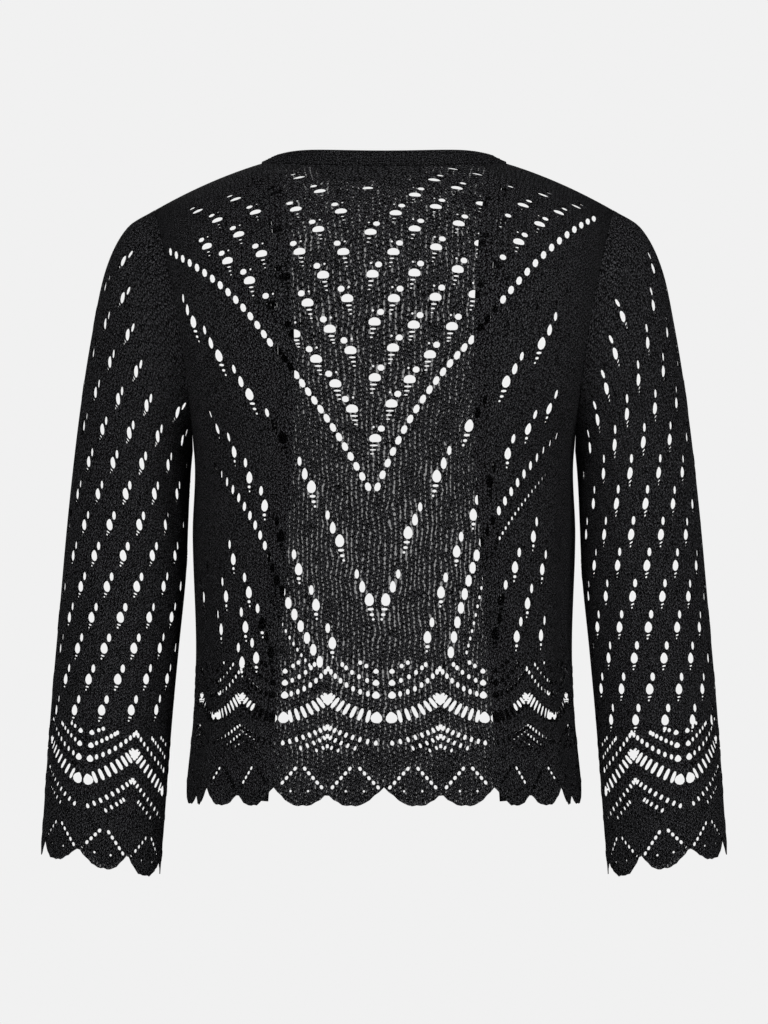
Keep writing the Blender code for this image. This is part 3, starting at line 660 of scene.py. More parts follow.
def border_holes(rows, scallop, low, high, edge):
    """The holes of a border between low and high, where edge gives the tips' v."""
    half = scallop.period / 2
    made = []
    first = math.floor((low - scallop.first_trough) / scallop.period)
    last = math.ceil((high - scallop.first_trough) / scallop.period)
    for number in range(first, last + 1):
        trough = scallop.first_trough + number * scallop.period
        for side in (1, -1):
            for row in rows:
                for i in range(row.count):
                    left = ((row.count - 1 - i) / (row.count - 1)) ** ROW_TIGHTENS
                    share = row.last - (row.last - row.first) * left
                    u = trough + side * share * half
                    v = edge + (row.above + row.rise * share**row.power) * MM
                    slope = row.rise * MM * row.power * share ** (row.power - 1) / half
                    lean = side * math.atan(slope) if row.shape == "slot" else 0.0
                    width, height = (row.wide, row.high) if i == 0 else (row.width, row.height)
                    shape = "drop" if i == 0 else row.shape
                    made.append(Hole(u, v, width * MM, height * MM, lean, shape))
            for arm in (1, -1):
                for i in range(CHEVRON_HOLES):
                    share = i / (CHEVRON_HOLES - 1)
                    out = CHEVRON_FIRST + (CHEVRON_LAST - CHEVRON_FIRST) * share
                    u = trough + side * (0.5 + arm * out) * half
                    v = edge + (CHEVRON_TOP - CHEVRON_FALL * share) * MM
                    width, height = CHEVRON_SIZE
                    lean = arm * side * CHEVRON_LEAN
                    made.append(Hole(u, v, width * MM, height * MM, lean, "bead"))
                u = trough + side * (0.5 + arm * LOBE_DOT_OUT) * half
                size = LOBE_DOT_SIZE * MM
                made.append(Hole(u, edge + LOBE_DOT_ABOVE * MM, size, size, 0.0, "dot"))
    return [hole for hole in made if low < hole.u < high]


def sleeve_height(u, z):
    """v of the sleeve's cloth, at u, where it lies at z."""
    low, high = 0.0, SLEEVE_LENGTH
    for _ in range(30):
        middle = (low + high) / 2
        if sleeve_points(np.array([[u, middle]]))[0, 2] < z:
            low = middle
        else:
            high = middle
    return (low + high) / 2


def half_sleeve_holes(side):
    """The holes of a sleeve's back half. side is 1 on the wearer's left."""
    lattice = LATTICES[side]
    made = []
    for row in range(LATTICE_ROWS):
        z = lattice.first_z - row * LATTICE_DOWN
        tilt = LATTICE_TILT * ramp(LATTICE_LEVEL_BELOW, LATTICE_TILTED_ABOVE, z)
        for column in range(-LATTICE_COLUMNS, LATTICE_COLUMNS):
            u = HALF_ROUND / 2
            u -= column * LATTICE_ACROSS + row * lattice.lean + lattice.phase
            if SEAM_CLEAR < u < HALF_ROUND - SEAM_CLEAR:
                v = sleeve_height(u, z - tilt * (u - LATTICE_TILT_ROUND))
                if v > LATTICE_TOP_V:
                    continue
                made += motif_holes("lattice", -lattice.turned, u, v, sleeve_points)
    turned = CUFF_SCALLOP._replace(first_trough=CUFF_SCALLOP.first_trough + HALF_ROUND / 2)
    return made + border_holes(CUFF_ROWS, turned, 0.001, HALF_ROUND - 0.001, 0.0)


def seen_through(near, far, holes, distance):
    """The holes of the far cloth that lie behind those of the near cloth, as the camera sees."""
    start = np.array([[hole.u, hole.v] for hole in holes])
    seen = near(start)
    found = start.copy()
    for _ in range(5):
        there = far(found)
        ratio = (distance - there[:, 1]) / (distance - seen[:, 1])
        miss_x = seen[:, 0] * ratio - there[:, 0]
        miss_z = (seen[:, 2] - VIEW_Z) * ratio + VIEW_Z - there[:, 2]
        rate_u = (far(found + (RATE_STEP, 0)) - there) / RATE_STEP
        rate_v = (far(found + (0, RATE_STEP)) - there) / RATE_STEP
        area = rate_u[:, 0] * rate_v[:, 2] - rate_u[:, 2] * rate_v[:, 0]
        clear = np.abs(area) > LEAST_SEEN_AREA
        area = np.where(clear, area, 1.0)
        move_u = (miss_x * rate_v[:, 2] - miss_z * rate_v[:, 0]) / area
        move_v = (miss_z * rate_u[:, 0] - miss_x * rate_u[:, 2]) / area
        found[:, 0] += np.where(clear, move_u, 0.0)
        found[:, 1] += np.where(clear, move_v, 0.0)
    moved = np.hypot(*(found - start).T)
    found = np.where((moved < MOST_MOVED)[:, None], found, start)
    return [hole._replace(u=place[0], v=place[1]) for hole, place in zip(holes, found)]


def hole_loops(hole, rates):
    """A hole's outline and the rings round it, in u and v."""
    shape = SHAPES[hole.shape]
    turn = 2 * math.pi * (np.arange(shape.points) + 0.5) / shape.points
    cosine, sine = np.cos(turn), np.sin(turn)
    power = np.where(sine > 0, 2 / shape.top, 2 / shape.bottom)
    across = np.sign(cosine) * np.abs(cosine) ** power
    up = np.sign(sine) * np.abs(sine) ** power
    across = across * (1 - shape.taper * np.maximum(up, 0))
    loops = []
    for offset in (0.0,) + RING_OFFSETS:
        wide = across * (hole.width / 2) + offset * np.sign(across) * np.abs(cosine) ** 0.5
        tall = up * (hole.height / 2) + offset * np.sign(up) * np.abs(sine) ** 0.5
        leaned = wide * math.cos(hole.lean) - tall * math.sin(hole.lean)
        raised = wide * math.sin(hole.lean) + tall * math.cos(hole.lean)
        loops.append(pairs(hole.u + leaned / rates[0], hole.v + raised / rates[1]))
    return loops


def inside(outline, points):
    """Which points lie in the outline."""
    found = np.zeros(len(points), bool)
    ends = np.roll(outline, -1, axis=0)
    for (u0, v0), (u1, v1) in zip(outline, ends):
        if v0 == v1:
            continue
        between = (v0 > points[:, 1]) != (v1 > points[:, 1])
        found ^= between & (points[:, 0] < u0 + (points[:, 1] - v0) / (v1 - v0) * (u1 - u0))
    return found


def tree_of(points):
    tree = KDTree(len(points))
    for i, (u, v) in enumerate(points):
        tree.insert((u, v, 0), i)
    tree.balance()
    return tree


def cut_cloth(outline, holes, surface, spacing):
    """Flat points, triangles and the outlines of the holes that were kept."""
    dense = []
    for start, end in zip(outline, np.roll(outline, -1, axis=0)):
        count = max(1, int(np.hypot(*(end - start)) / EDGE_POINTS))
        dense += [start + (end - start) * i / count for i in range(count)]
    edge = tree_of(dense)
    _, _, rates = surface_frame(surface, np.array([[hole.u, hole.v] for hole in holes]))
    kept, rings = [], []
    for number, hole in enumerate(holes):
        loop, *around = hole_loops(hole, (rates[0][number], rates[1][number]))
        if not inside(outline, loop).all():
            continue
        if min(edge.find((u, v, 0))[2] for u, v in loop) > HOLE_MARGIN:
            kept.append(loop)
            rings += around if len(loop) > 6 else around[:1]
    points = [tuple(p) for p in outline]
    loops = [list(range(len(points)))]
    for loop in kept:
        loops.append(list(range(len(points), len(points) + len(loop))))
        points += [tuple(p) for p in loop]
    rims = tree_of(points)
    taken = list(points)
    ring_points = np.concatenate(rings)
    ring_points = ring_points[inside(outline, ring_points)]
    for u, v in ring_points:
        if rims.find((u, v, 0))[2] > RING_CLEAR:
            taken.append((u, v))
    fill = tree_of(taken)
    low, high = outline.min(0), outline.max(0)
    grid = []
    for row, v in enumerate(stepped(low[1], high[1], spacing * FILL_ROW)):
        grid.append(pairs(stepped(low[0], high[0], spacing) + spacing * (row % 2) / 2, v))
    grid = np.concatenate(grid)
    grid = grid[inside(outline, grid)]
    for u, v in grid:
        if fill.find((u, v, 0))[2] > spacing * FILL_CLEAR:
            taken.append((u, v))
    flat, _, triangles, origins, _, sources = delaunay_2d_cdt(
        [Vector(p) for p in taken], [], loops, 1, 1e-7, True
    )
    solid = np.array([t for t, source in zip(triangles, sources) if list(source) == [0]])
    owner = np.full(len(taken), -1)
    for number, loop in enumerate(loops[1:]):
        owner[loop] = number
    owners = np.array([owner[origin[0]] if len(origin) else -2 for origin in origins])
    a, b, c = owners[solid].T
    solid = solid[~((a >= 0) & (a == b) & (b == c))]
    flat = np.array([tuple(p) for p in flat])
    used = np.unique(solid)
    place = np.full(len(flat), -1)
    place[used] = np.arange(len(used))
    return flat[used], place[solid], kept


def crease_depth(creases, places):
    """How far the creases push the cloth in at places."""
    depth = np.zeros(len(places))
    for crease in creases:
        du, dv = places[:, 0] - crease.u, places[:, 1] - crease.v
        along = dv * math.cos(crease.lean) + du * math.sin(crease.lean)
        across = du * math.cos(crease.lean) - dv * math.sin(crease.lean)
        depth += crease.depth * np.exp(
            -((across / crease.width) ** 2) - (along / crease.length) ** 2
        )
    return depth


def shell(panel, holes, mirrored, knit):
    """A closed thin shell on a surface, with its holes cut through and its rims rounded."""
    outline, surface = panel.outline(), panel.surface
    flat, triangles, kept = cut_cloth(outline, holes, surface, knit.spacing)
    points, normals, _ = surface_frame(surface, flat)
    edges = [p for loop in kept for p in loop] + [p for p in outline if p[1] < panel.open_below]
    edge_tree = tree_of(edges)
    near = np.array([edge_tree.find((u, v, 0))[2] for u, v in flat])
    stands = np.interp(near, RIM_AT, RIM_OUT)
    walls = knit.wall + np.interp(near, RIM_AT, RIM_WALL)
    middle = points.mean(0)
    middle[1] = 0.0
    turned = np.sum(normals * (points - middle), axis=1).mean() < 0
    if turned:
        normals = -normals
    depth = crease_depth(panel.creases, flat) + knit.sunk
    outer = points + normals * (stands - depth)[:, None]
    inner = outer - normals * walls[:, None]
    count = len(flat)
    front = triangles if not turned else triangles[:, ::-1]
    back = front[:, ::-1] + count
    starts = np.concatenate([front[:, [0, 1]], front[:, [1, 2]], front[:, [2, 0]]])
    found = {tuple(edge) for edge in starts.tolist()}
    rims = np.array([edge for edge in starts.tolist() if (edge[1], edge[0]) not in found])
    a, b = rims[:, 0], rims[:, 1]
    sides = np.concatenate(
        [np.stack([b, a, a + count], axis=1), np.stack([b, a + count, b + count], axis=1)]
    )
    faces = np.concatenate([front, back, sides])
    made = np.concatenate([outer, inner])
    if mirrored:
        made = made * (-1, 1, 1)
        faces = faces[:, ::-1]
    cloth = np.concatenate([flat, flat])
    return mesh_object(made, faces, cloth, np.concatenate([near, near]))


def mesh_object(points, faces, cloth, near):
    """A mesh with its cloth measures and its distance from an edge as an attribute."""
    mesh = bpy.data.meshes.new("knit")
    mesh.vertices.add(len(points))
    mesh.vertices.foreach_set("co", np.ascontiguousarray(points, np.float32).ravel())
    mesh.loops.add(faces.size)
    mesh.loops.foreach_set("vertex_index", np.ascontiguousarray(faces, np.int32).ravel())
    mesh.polygons.add(len(faces))
    size = faces.shape[1]
    mesh.polygons.foreach_set("loop_start", np.arange(0, faces.size, size, dtype=np.int32))
    mesh.update(calc_edges=True)
    mesh.validate()
    measure = mesh.attributes.new("cloth", "FLOAT_VECTOR", "POINT")
    values = np.zeros((len(points), 3), np.float32)
    values[:, :2] = cloth
    values[:, 2] = np.minimum(near, NEAR_MOST)
    measure.data.foreach_set("vector", values.ravel())
    mesh.polygons.foreach_set("use_smooth", np.ones(len(faces), bool))
    mesh.set_sharp_from_angle(angle=SHARP_ANGLE)
    made = bpy.data.objects.new("knit", mesh)
    bpy.context.scene.collection.objects.link(made)
    return made


def dress(made, name, slot, nodes):
    """Gives a piece its name, its material and its place in the frame, and hides the CAD parts it
    stands for.
    """
    made.name = made.data.name = name
    knit = bpy.context.scene.cardigan_knit
    yarn = found_material(slot.replace("knit", "yarn"), knit, slot == "lace_knit")
    made.data.materials.append(yarn)
    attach(made, "root")
    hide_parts(*nodes)


def band_frames(x, z, face, lean):
    """Points, heights and outward directions along the edge of a panel."""
    places = body_places(x, z)
    surface = BACK.surface if face > 0 else FRONT.surface
    points, normals, _ = surface_frame(surface, places)
    tangents = np.gradient(points, axis=0)
    ends = (z > BAND_TURN_Z) & (np.abs(np.abs(x) - NECK_X) < SAME_PLACE)
    tangents[ends] = np.stack([0 * x, np.sign(tangents[:, 1]), 0 * x], axis=1)[ends]
    points[ends, 1] += face * SEAM_GAP / 2
    tangents /= np.linalg.norm(tangents, axis=1)[:, None]
    flip = np.where(normals @ np.array([0, face, 0.3]) < 0, -1.0, 1.0)
    normals *= flip[:, None]
    in_plane = np.cross(normals, tangents)
    inward = np.stack([-x, 0 * x, 0 * x + 0.05], axis=1)
    in_plane *= np.where(np.sum(in_plane * inward, axis=1) < 0, -1.0, 1.0)[:, None]
    toward = -points * (1, 1, 0)
    toward /= np.linalg.norm(toward, axis=1)[:, None]
    leans = (np.abs(x) / NECK_X) ** BAND_LEAN_POWER
    leaned = BAND_LEAN + (BAND_SHOULDER_LEAN - BAND_LEAN) * leans
    upright = toward * leaned[:, None] + (0, 0, 1)
    upright /= np.linalg.norm(upright, axis=1)[:, None]
    up = upright + (in_plane - upright) * lean[:, None]
    up -= tangents * np.sum(up * tangents, axis=1)[:, None]
    up /= np.linalg.norm(up, axis=1)[:, None]
    out = np.cross(up, tangents)
    out *= np.where(np.sum(out * normals, axis=1) < 0, -1.0, 1.0)[:, None]
    return points, up, out


def band(frames, mirrored, knit):
    """A strip of purl ridges along frames, with a bump for each stitch."""
    points, up, out = frames
    along = np.concatenate([[0], np.cumsum(np.linalg.norm(np.diff(points, axis=0), axis=1))])
    rows = 6 * BAND_RIDGES
    share = np.arange(rows + 1) / rows
    heights = BAND_WIDTH + (SEAM_GAP - BAND_WIDTH) * share
    ridge = np.abs(np.sin(math.pi * BAND_RIDGES * share)) ** 0.8
    row_number = np.minimum((share * BAND_RIDGES).astype(int), BAND_RIDGES - 1)
    phase = along[:, None] / knit.stitch_width + 0.5 * (row_number % 2)[None, :]
    bump = 1 - BAND_STITCH + BAND_STITCH * np.abs(np.cos(math.pi * phase))
    raised = BAND_RIDGE * (ridge[None, :] * bump * 1.25 - 0.15)
    heights = np.broadcast_to(heights, raised.shape)
    low, high = SEAM_GAP, BAND_WIDTH
    back_heights = np.broadcast_to([low, (low + high) / 2, high], (len(points), 3))
    back_out = np.broadcast_to([-BAND_WALL, -BAND_WALL - 0.0001, -BAND_WALL], (len(points), 3))
    heights = np.concatenate([heights, back_heights], axis=1)
    raised = np.concatenate([raised, back_out], axis=1)
    size = heights.shape[1]
    made = (
        points[:, None] + up[:, None] * heights[..., None] + out[:, None] * raised[..., None]
    ).reshape(-1, 3)
    i, j = np.meshgrid(np.arange(len(points) - 1), np.arange(size), indexing="ij")
    k = (j + 1) % size
    quads = np.stack([i * size + j, i * size + k, (i + 1) * size + k, (i + 1) * size + j], axis=-1)
    quads = quads.reshape(-1, 4)
    faces = np.concatenate([quads[:, [0, 1, 2]], quads[:, [0, 2, 3]]])
    fan = np.array([[0, n, n + 1] for n in range(1, size - 1)])
    faces = np.concatenate([faces, fan[:, ::-1], fan + (len(points) - 1) * size])
    volume = np.sum(np.cross(made[faces[:, 0]], made[faces[:, 1]]) * made[faces[:, 2]])
    if volume < 0:
        faces = faces[:, ::-1]
    if mirrored:
        made = made * (-1, 1, 1)
        faces = faces[:, ::-1]
    cloth = pairs(np.repeat(along, size), heights.ravel())
    return mesh_object(made, faces, cloth, np.full(len(made), NEAR_MOST))


def node(tree, kind, **values):
    made = tree.nodes.new(kind)
    made.location = (180 * (len(tree.nodes) % NODES_A_ROW), -220 * (len(tree.nodes) // NODES_A_ROW))
    for key, value in values.items():
        setattr(made, key, value)
    return made


def maths(tree, operation, *inputs):
    """A math node with values or sockets on its inputs."""
    made = node(tree, "ShaderNodeMath", operation=operation)
    for socket, value in zip(made.inputs, inputs):
        if isinstance(value, (int, float)):
            socket.default_value = value
        else:
            tree.links.new(value, socket)
    return made.outputs[0]


class Field:
    """A socket's value over the cloth. Arithmetic on it adds math nodes to its tree."""

    def __init__(self, tree, socket):
        self.tree = tree
        self.socket = socket

    def put(self, operation, other=0.0):
        other = getattr(other, "socket", other)
        return Field(self.tree, maths(self.tree, operation, self.socket, other))

    def __add__(self, other):
        return self.put("ADD", other)

    def __sub__(self, other):
        return self.put("SUBTRACT", other)

    def __rsub__(self, other):
        return Field(self.tree, maths(self.tree, "SUBTRACT", other, self.socket))

    def __mul__(self, other):
        return self.put("MULTIPLY", other)

    def __truediv__(self, other):
        return self.put("DIVIDE", other)

    def __pow__(self, other):
        return self.put("POWER", other)

    def __rpow__(self, other):
        return Field(self.tree, maths(self.tree, "POWER", other, self.socket))


def fields(tree, sockets):
    return [Field(tree, socket) for socket in sockets]


def stitches_group():
    """A node group: the height of plain stitches and the pores between them."""
    if "Plain stitches" in bpy.data.node_groups:
        return bpy.data.node_groups["Plain stitches"]
    tree = bpy.data.node_groups.new("Plain stitches", "ShaderNodeTree")
    face = tree.interface
    face.new_socket("Cloth", in_out="INPUT", socket_type="NodeSocketVector")
    for name, value in (
        ("Stitch width", 0.0034),
        ("Row height", 0.0023),
        ("Pore size", 0.3),
        ("Unevenness", 3.0),
    ):
        socket = face.new_socket(name, in_out="INPUT", socket_type="NodeSocketFloat")
        socket.default_value = value
    for name in ("Height", "Pore", "Fuzz"):
        face.new_socket(name, in_out="OUTPUT", socket_type="NodeSocketFloat")
    start = node(tree, "NodeGroupInput")
    end = node(tree, "NodeGroupOutput")

    def noise(settings):
        made = node(tree, "ShaderNodeTexNoise")
        for name, value in zip(("Scale", "Detail", "Roughness"), settings):
            made.inputs[name].default_value = value
        tree.links.new(start.outputs["Cloth"], made.inputs["Vector"])
        return made

    width, height, size, uneven = fields(tree, start.outputs[1:5])
    ways = node(tree, "ShaderNodeSeparateColor")
    tree.links.new(noise(WANDER_NOISE).outputs["Color"], ways.inputs[0])
    way_u, way_v, _ = fields(tree, ways.outputs)
    split = node(tree, "ShaderNodeSeparateXYZ")
    tree.links.new(start.outputs["Cloth"], split.inputs[0])
    u, v, near = fields(tree, split.outputs)
    column = u / width + (way_u - 0.5) * uneven
    row = v / height + (way_v - 0.5) * uneven
    across = (column.put("FRACT") - 0.5).put("ABSOLUTE") * 2
    column_number = column.put("ROUND")
    slanted = row + column_number.put("PINGPONG", 1) * 0.5 - across * STITCH_SLANT
    wave = (slanted * math.pi).put("SINE").put("ABSOLUTE")
    raised = wave * (1 - across**5 - (1 - across) ** 8 * STITCH_SPLIT)
    side = (1 - across) * width * (0.5 / PORE_HALF_WIDTH)
    level = slanted.put("PINGPONG", 0.5) * height * (1 / PORE_HALF_HEIGHT)
    cell = node(tree, "ShaderNodeCombineXYZ")
    tree.links.new(column_number.socket, cell.inputs[0])
    tree.links.new(slanted.put("ROUND").socket, cell.inputs[1])
    chance = node(tree, "ShaderNodeTexWhiteNoise")
    tree.links.new(cell.outputs[0], chance.inputs["Vector"])
    (chance,) = fields(tree, chance.outputs[:1])
    (blotch,) = fields(tree, noise(BLOTCH_NOISE).outputs[:1])
    loose = 0.5 ** ((u * (1 / LOOSE_ROUND)) ** 2 + ((v - LOOSE_V) * (1 / LOOSE_UP)) ** 2)
    firm = 0.5 ** (((v - HEM_Z) * (1 / FIRM_UP)) ** 2)
    share = 0.5 ** (near * (1 / PORE_FADE)) + PORE_LEAST + loose * LOOSE_MORE - firm * FIRM_LESS
    opened = (blotch - CLOSED_SHARE) * size * share * (chance * CHANCE_MORE + CHANCE_LEAST)
    tree.links.new(raised.socket, end.inputs["Height"])
    pore = (side**2 + level**2).put("LESS_THAN", opened)
    tree.links.new(pore.socket, end.inputs["Pore"])
    tree.links.new(noise(FUZZ_NOISE).outputs["Fac"], end.inputs["Fuzz"])
    return tree


def knit_material(name, knit, porous):
    """Black cotton yarn in plain stitches, with light through the pores of thin cloth. Its base
    colour holds painted shade between the fibres and painted highlights on the raised fibres.
    """
    material = bpy.data.materials.new(name)
    material.use_nodes = True
    tree = material.node_tree
    shader = tree.nodes["Principled BSDF"]
    output = tree.nodes["Material Output"]
    shader.inputs["Roughness"].default_value = knit.roughness
    shader.inputs["Specular IOR Level"].default_value = knit.gloss
    cloth = node(tree, "ShaderNodeAttribute", attribute_name="cloth")
    group = node(tree, "ShaderNodeGroup", node_tree=stitches_group())
    tree.links.new(cloth.outputs["Vector"], group.inputs["Cloth"])
    group.inputs["Stitch width"].default_value = knit.stitch_width
    group.inputs["Row height"].default_value = knit.row_height if porous else knit.band_row
    group.inputs["Unevenness"].default_value = knit.wander if porous else 0.3
    group.inputs["Pore size"].default_value = knit.pore if porous else 0.0
    height, pore, fuzz = fields(tree, group.outputs)
    # Mask of painted highlights on the fibres, stronger on the raised stitches
    painted_glint = (fuzz - knit.dull) * FUZZ_CONTRAST
    painted_glint.socket.node.use_clamp = True
    painted_glint = painted_glint * (height * PAINTED_GLINT_RISE + PAINTED_GLINT_LEAST)
    relief = fuzz * FUZZ_RELIEF + height
    bump = node(tree, "ShaderNodeBump")
    bump.inputs["Strength"].default_value = 1.0
    bump.inputs["Distance"].default_value = knit.relief
    tree.links.new(relief.socket, bump.inputs["Height"])
    tree.links.new(bump.outputs["Normal"], shader.inputs["Normal"])
    # Base colour: painted shade between the fibres, painted highlights where the mask is high
    painted_light_mix = node(tree, "ShaderNodeMix", data_type="RGBA")
    tree.links.new(painted_glint.socket, painted_light_mix.inputs[0])
    for socket, share in ((painted_light_mix.inputs[6], PAINTED_SHADE_SHARE), (painted_light_mix.inputs[7], PAINTED_HIGHLIGHT_SHARE)):
        socket.default_value = tuple(share * c for c in knit.yarn) + (1.0,)
    tree.links.new(painted_light_mix.outputs[2], shader.inputs["Base Color"])
    if porous:
        alpha = maths(tree, "MULTIPLY_ADD", group.outputs["Pore"], -PORE_CLEAR, 1.0)
        tree.links.new(alpha, shader.inputs["Alpha"])
    tree.links.new(shader.outputs[0], output.inputs["Surface"])
    return material


def found_material(name, knit, porous):
    made = bpy.data.materials.get(name)
    return made or knit_material(name, knit, porous)


class KnitSettings(bpy.types.PropertyGroup):
    """Sizes and looks of the knitted cloth."""

    wall: bpy.props.FloatProperty(
        name="Wall", description="Thickness of the cloth", default=0.0012, min=0.0006, unit="LENGTH"
    )
    sunk: bpy.props.FloatProperty(
        name="Sunk",
        description="How far the cloth lies under the CAD form",
        default=0.0002,
        unit="LENGTH",
    )
    spacing: bpy.props.FloatProperty(
        name="Spacing", description="Of the points between the holes", default=0.005, unit="LENGTH"
    )
    stitch_width: bpy.props.FloatProperty(
        name="Stitch width", description="One stitch across", default=0.0030, unit="LENGTH"
    )
    band_row: bpy.props.FloatProperty(
        name="Band row", description="One row of a band's stitches", default=0.0021, unit="LENGTH"
    )
    row_height: bpy.props.FloatProperty(
        name="Row height", description="One row of stitches", default=0.0034, unit="LENGTH"
    )
    wander: bpy.props.FloatProperty(
        name="Wander", description="Of the stitches in the cloth, in stitches", default=3.0
    )
    relief: bpy.props.FloatProperty(
        name="Relief", description="Height of the stitches", default=0.0009, unit="LENGTH"
    )
    pore: bpy.props.FloatProperty(
        name="Pores", description="Openness of the pores between stitches", default=3.6, min=0.0
    )
    # Share of the fuzz noise that gets no painted highlight
    dull: bpy.props.FloatProperty(
        name="Dull share", description="Of the yarn, without a highlight", default=0.468
    )
    roughness: bpy.props.FloatProperty(
        name="Roughness", description="Of the yarn", default=0.68, min=0.0, max=1.0
    )
    gloss: bpy.props.FloatProperty(
        name="Gloss", description="Of the yarn", default=0.015, min=0.0, max=1.0
    )
    yarn: bpy.props.FloatVectorProperty(
        name="Yarn",
        description="Colour of the yarn",
        default=(0.0052, 0.0052, 0.0056),
        subtype="COLOR",
        size=3,
        min=0.0,
        max=1.0,
    )


class StageSettings(bpy.types.PropertyGroup):
    """The camera, the light and the floor."""

    distance: bpy.props.FloatProperty(
        name="Camera distance", description="From the origin", default=9.0, unit="LENGTH"
    )
    backdrop: bpy.props.FloatVectorProperty(
        name="Backdrop",
        description="Colour behind the garment",
        default=(0.879, 0.879, 0.879),
        subtype="COLOR",
        size=3,
    )
    fill: bpy.props.FloatProperty(
        name="Fill light", description="Strength of the light all round", default=0.07
    )
    key: bpy.props.FloatProperty(
        name="Key light", description="Power of the main soft light", default=60.0, unit="POWER"
    )
    floor_z: bpy.props.FloatProperty(
        name="Floor height", description="Of the floor below the origin", default=-1.07, unit="LENGTH"
    )


class CARDIGAN_OT_back(bpy.types.Operator):
    """Builds the lace back"""

    bl_idname = "cardigan.back"
    bl_label = "Build the back"

    def execute(self, context):
        low, high = -QUARTER_GIRTH, QUARTER_GIRTH
        holes = body_holes() + border_holes(HEM_ROWS, HEM_SCALLOP, low, high, HEM_Z)
        made = shell(BACK, holes, False, context.scene.cardigan_knit)
        dress(made, "knit_back", "lace_knit", ["back"])
        return {"FINISHED"}


class CARDIGAN_OT_fronts(bpy.types.Operator):
    """Builds the two fronts, which meet the front bands at their edges"""

    bl_idname = "cardigan.fronts"
    bl_label = "Build the fronts"

    def execute(self, context):
        distance = context.scene.cardigan_stage.distance
        border = border_holes(HEM_ROWS, HEM_SCALLOP, 0.0, QUARTER_GIRTH, HEM_Z)
        for name, side in (("front_left", 1), ("front_right", -1)):
            near = [hole._replace(u=side * hole.u, lean=side * hole.lean) for hole in body_holes()]
            near = [hole for hole in near if hole.u > FRONT_FIRST_U]
            holes = seen_through(BACK.surface, FRONT.surface, near, distance) + border
            made = shell(FRONT, holes, side < 0, context.scene.cardigan_knit)
            dress(made, "knit_" + name, "lace_knit", [name])
        return {"FINISHED"}


class CARDIGAN_OT_sleeves(bpy.types.Operator):
    """Builds the two sleeves, each a tube with its seam on the inner line"""

    bl_idname = "cardigan.sleeves"
    bl_label = "Build the sleeves"

    def execute(self, context):
        distance = context.scene.cardigan_stage.distance

        def far(places):
            return sleeve_points(places * (-1, 1))

        for side, name in ((1, "left"), (-1, "right")):
            near = half_sleeve_holes(side)
            behind = seen_through(sleeve_points, far, near, distance)
            behind = [hole._replace(u=-hole.u, lean=-hole.lean) for hole in behind]
            made = shell(SLEEVE_TUBE, near + behind, side < 0, context.scene.cardigan_knit)
            nodes = ["sleeve_" + name + "_back", "sleeve_" + name + "_front"]
            dress(made, "knit_sleeve_" + name, "lace_knit", nodes)
        return {"FINISHED"}


class CARDIGAN_OT_bands(bpy.types.Operator):
    """Builds the neck band and the two front bands"""

    bl_idname = "cardigan.bands"
    bl_label = "Build the bands"

    def execute(self, context):
        knit = context.scene.cardigan_knit
        step = knit.stitch_width / 4
        x, z = neck_line(step)
        x, z = np.append(-x[:0:-1], x), np.append(z[:0:-1], z)
        made = band(band_frames(x, z, 1, np.zeros(len(x))), False, knit)
        dress(made, "knit_neck_band", "band_knit", ["neck_band"])
        x, z = front_line(step)
        frames = band_frames(x, z, -1, 1 - ramp(BAND_TURN_Z, z[0], z))
        for name, mirrored in (("front_band_left", False), ("front_band_right", True)):
            made = band(frames, mirrored, knit)
            dress(made, "knit_" + name, "band_knit", [name])
        return {"FINISHED"}


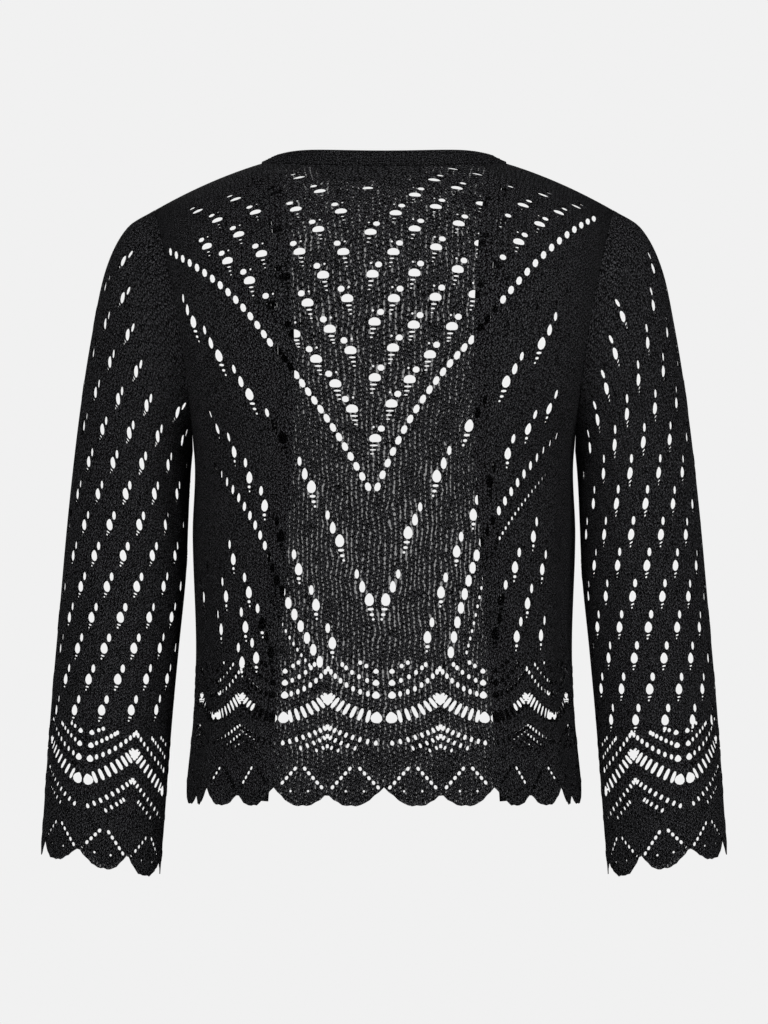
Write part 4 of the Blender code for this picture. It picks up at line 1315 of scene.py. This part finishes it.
class CARDIGAN_OT_stage(bpy.types.Operator):
    """Sets up the camera, the soft light, the pale floor and the backdrop"""

    bl_idname = "cardigan.stage"
    bl_label = "Set the stage"

    def execute(self, context):
        stage = context.scene.cardigan_stage
        scene = context.scene
        camera = bpy.data.cameras.new("camera")
        away = stage.distance - VIEW_DEPTH
        camera.sensor_width = 36.0
        camera.lens = camera.sensor_width * away / VIEW_HEIGHT
        camera.clip_end = 60.0
        holder = bpy.data.objects.new("camera", camera)
        holder.location = (0.0, stage.distance, VIEW_Z)
        holder.rotation_euler = (HALF_PI, 0.0, math.pi)
        scene.collection.objects.link(holder)
        scene.camera = holder
        for name, place, size, power in (
            ("key", (1.6, 2.4, 1.6), 1.6, stage.key),
            ("rim", (-1.8, 1.6, 1.0), 1.4, stage.key * 0.6),
            ("front_fill", (0.6, -2.6, 1.2), 2.0, stage.key * 0.12),
        ):
            light = bpy.data.lights.new(name, "AREA")
            light.size = size
            light.energy = power
            lamp = bpy.data.objects.new(name, light)
            lamp.location = place
            aim = Vector((0.0, 0.0, VIEW_Z)) - Vector(place)
            lamp.rotation_euler = aim.to_track_quat("-Z", "Y").to_euler()
            lamp.visible_camera = False
            scene.collection.objects.link(lamp)
        bpy.ops.mesh.primitive_circle_add(
            vertices=96, radius=4.0, fill_type="NGON", location=(0, 0, stage.floor_z)
        )
        floor = context.object
        floor.name = "floor"
        paint = bpy.data.materials.new("floor")
        paint.use_nodes = True
        shader = paint.node_tree.nodes["Principled BSDF"]
        shader.inputs["Base Color"].default_value = (0.82, 0.82, 0.82, 1.0)
        shader.inputs["Roughness"].default_value = 0.9
        floor.data.materials.append(paint)
        glow = node(paint.node_tree, "ShaderNodeEmission")
        glow.inputs["Color"].default_value = tuple(stage.backdrop) + (1.0,)
        view = node(paint.node_tree, "ShaderNodeLightPath")
        lit = maths(paint.node_tree, "MULTIPLY", view.outputs["Is Camera Ray"], 0.72)
        paint.node_tree.links.new(lit, glow.inputs["Strength"])
        both = node(paint.node_tree, "ShaderNodeAddShader")
        paint.node_tree.links.new(shader.outputs[0], both.inputs[0])
        paint.node_tree.links.new(glow.outputs[0], both.inputs[1])
        end = paint.node_tree.nodes["Material Output"]
        paint.node_tree.links.new(both.outputs[0], end.inputs["Surface"])
        world = bpy.data.worlds.new("studio")
        scene.world = world
        world.use_nodes = True
        tree = world.node_tree
        light = tree.nodes["Background"]
        light.inputs["Color"].default_value = (1.0, 1.0, 1.0, 1.0)
        light.inputs["Strength"].default_value = stage.fill
        seen = node(tree, "ShaderNodeBackground")
        seen.inputs["Color"].default_value = tuple(stage.backdrop) + (1.0,)
        path = node(tree, "ShaderNodeLightPath")
        mix = node(tree, "ShaderNodeMixShader")
        tree.links.new(path.outputs["Is Camera Ray"], mix.inputs[0])
        tree.links.new(light.outputs[0], mix.inputs[1])
        tree.links.new(seen.outputs[0], mix.inputs[2])
        tree.links.new(mix.outputs[0], tree.nodes["World Output"].inputs["Surface"])
        scene.view_settings.view_transform = "Standard"
        return {"FINISHED"}


class CARDIGAN_PT_panel(bpy.types.Panel):
    """Lists the cardigan's pieces and settings."""

    bl_label = "Cardigan"
    bl_idname = "CARDIGAN_PT_panel"
    bl_space_type = "VIEW_3D"
    bl_region_type = "UI"
    bl_category = "Cardigan"

    def draw(self, context):
        for name in KnitSettings.__annotations__:
            self.layout.prop(context.scene.cardigan_knit, name)
        for name in StageSettings.__annotations__:
            self.layout.prop(context.scene.cardigan_stage, name)
        for operator in OPERATORS:
            self.layout.operator(operator.bl_idname)


OPERATORS = (
    CARDIGAN_OT_back,
    CARDIGAN_OT_fronts,
    CARDIGAN_OT_sleeves,
    CARDIGAN_OT_bands,
    CARDIGAN_OT_stage,
)
CLASSES = (KnitSettings, StageSettings) + OPERATORS + (CARDIGAN_PT_panel,)


def register():
    for made in CLASSES:
        bpy.utils.register_class(made)
    bpy.types.Scene.cardigan_knit = bpy.props.PointerProperty(type=KnitSettings)
    bpy.types.Scene.cardigan_stage = bpy.props.PointerProperty(type=StageSettings)


def unregister():
    del bpy.types.Scene.cardigan_stage
    del bpy.types.Scene.cardigan_knit
    for made in reversed(CLASSES):
        bpy.utils.unregister_class(made)


def main():
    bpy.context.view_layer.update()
    register()
    bpy.ops.cardigan.back()
    bpy.ops.cardigan.fronts()
    bpy.ops.cardigan.sleeves()
    bpy.ops.cardigan.bands()
    bpy.ops.cardigan.stage()


if __name__ == "__main__":
    main()
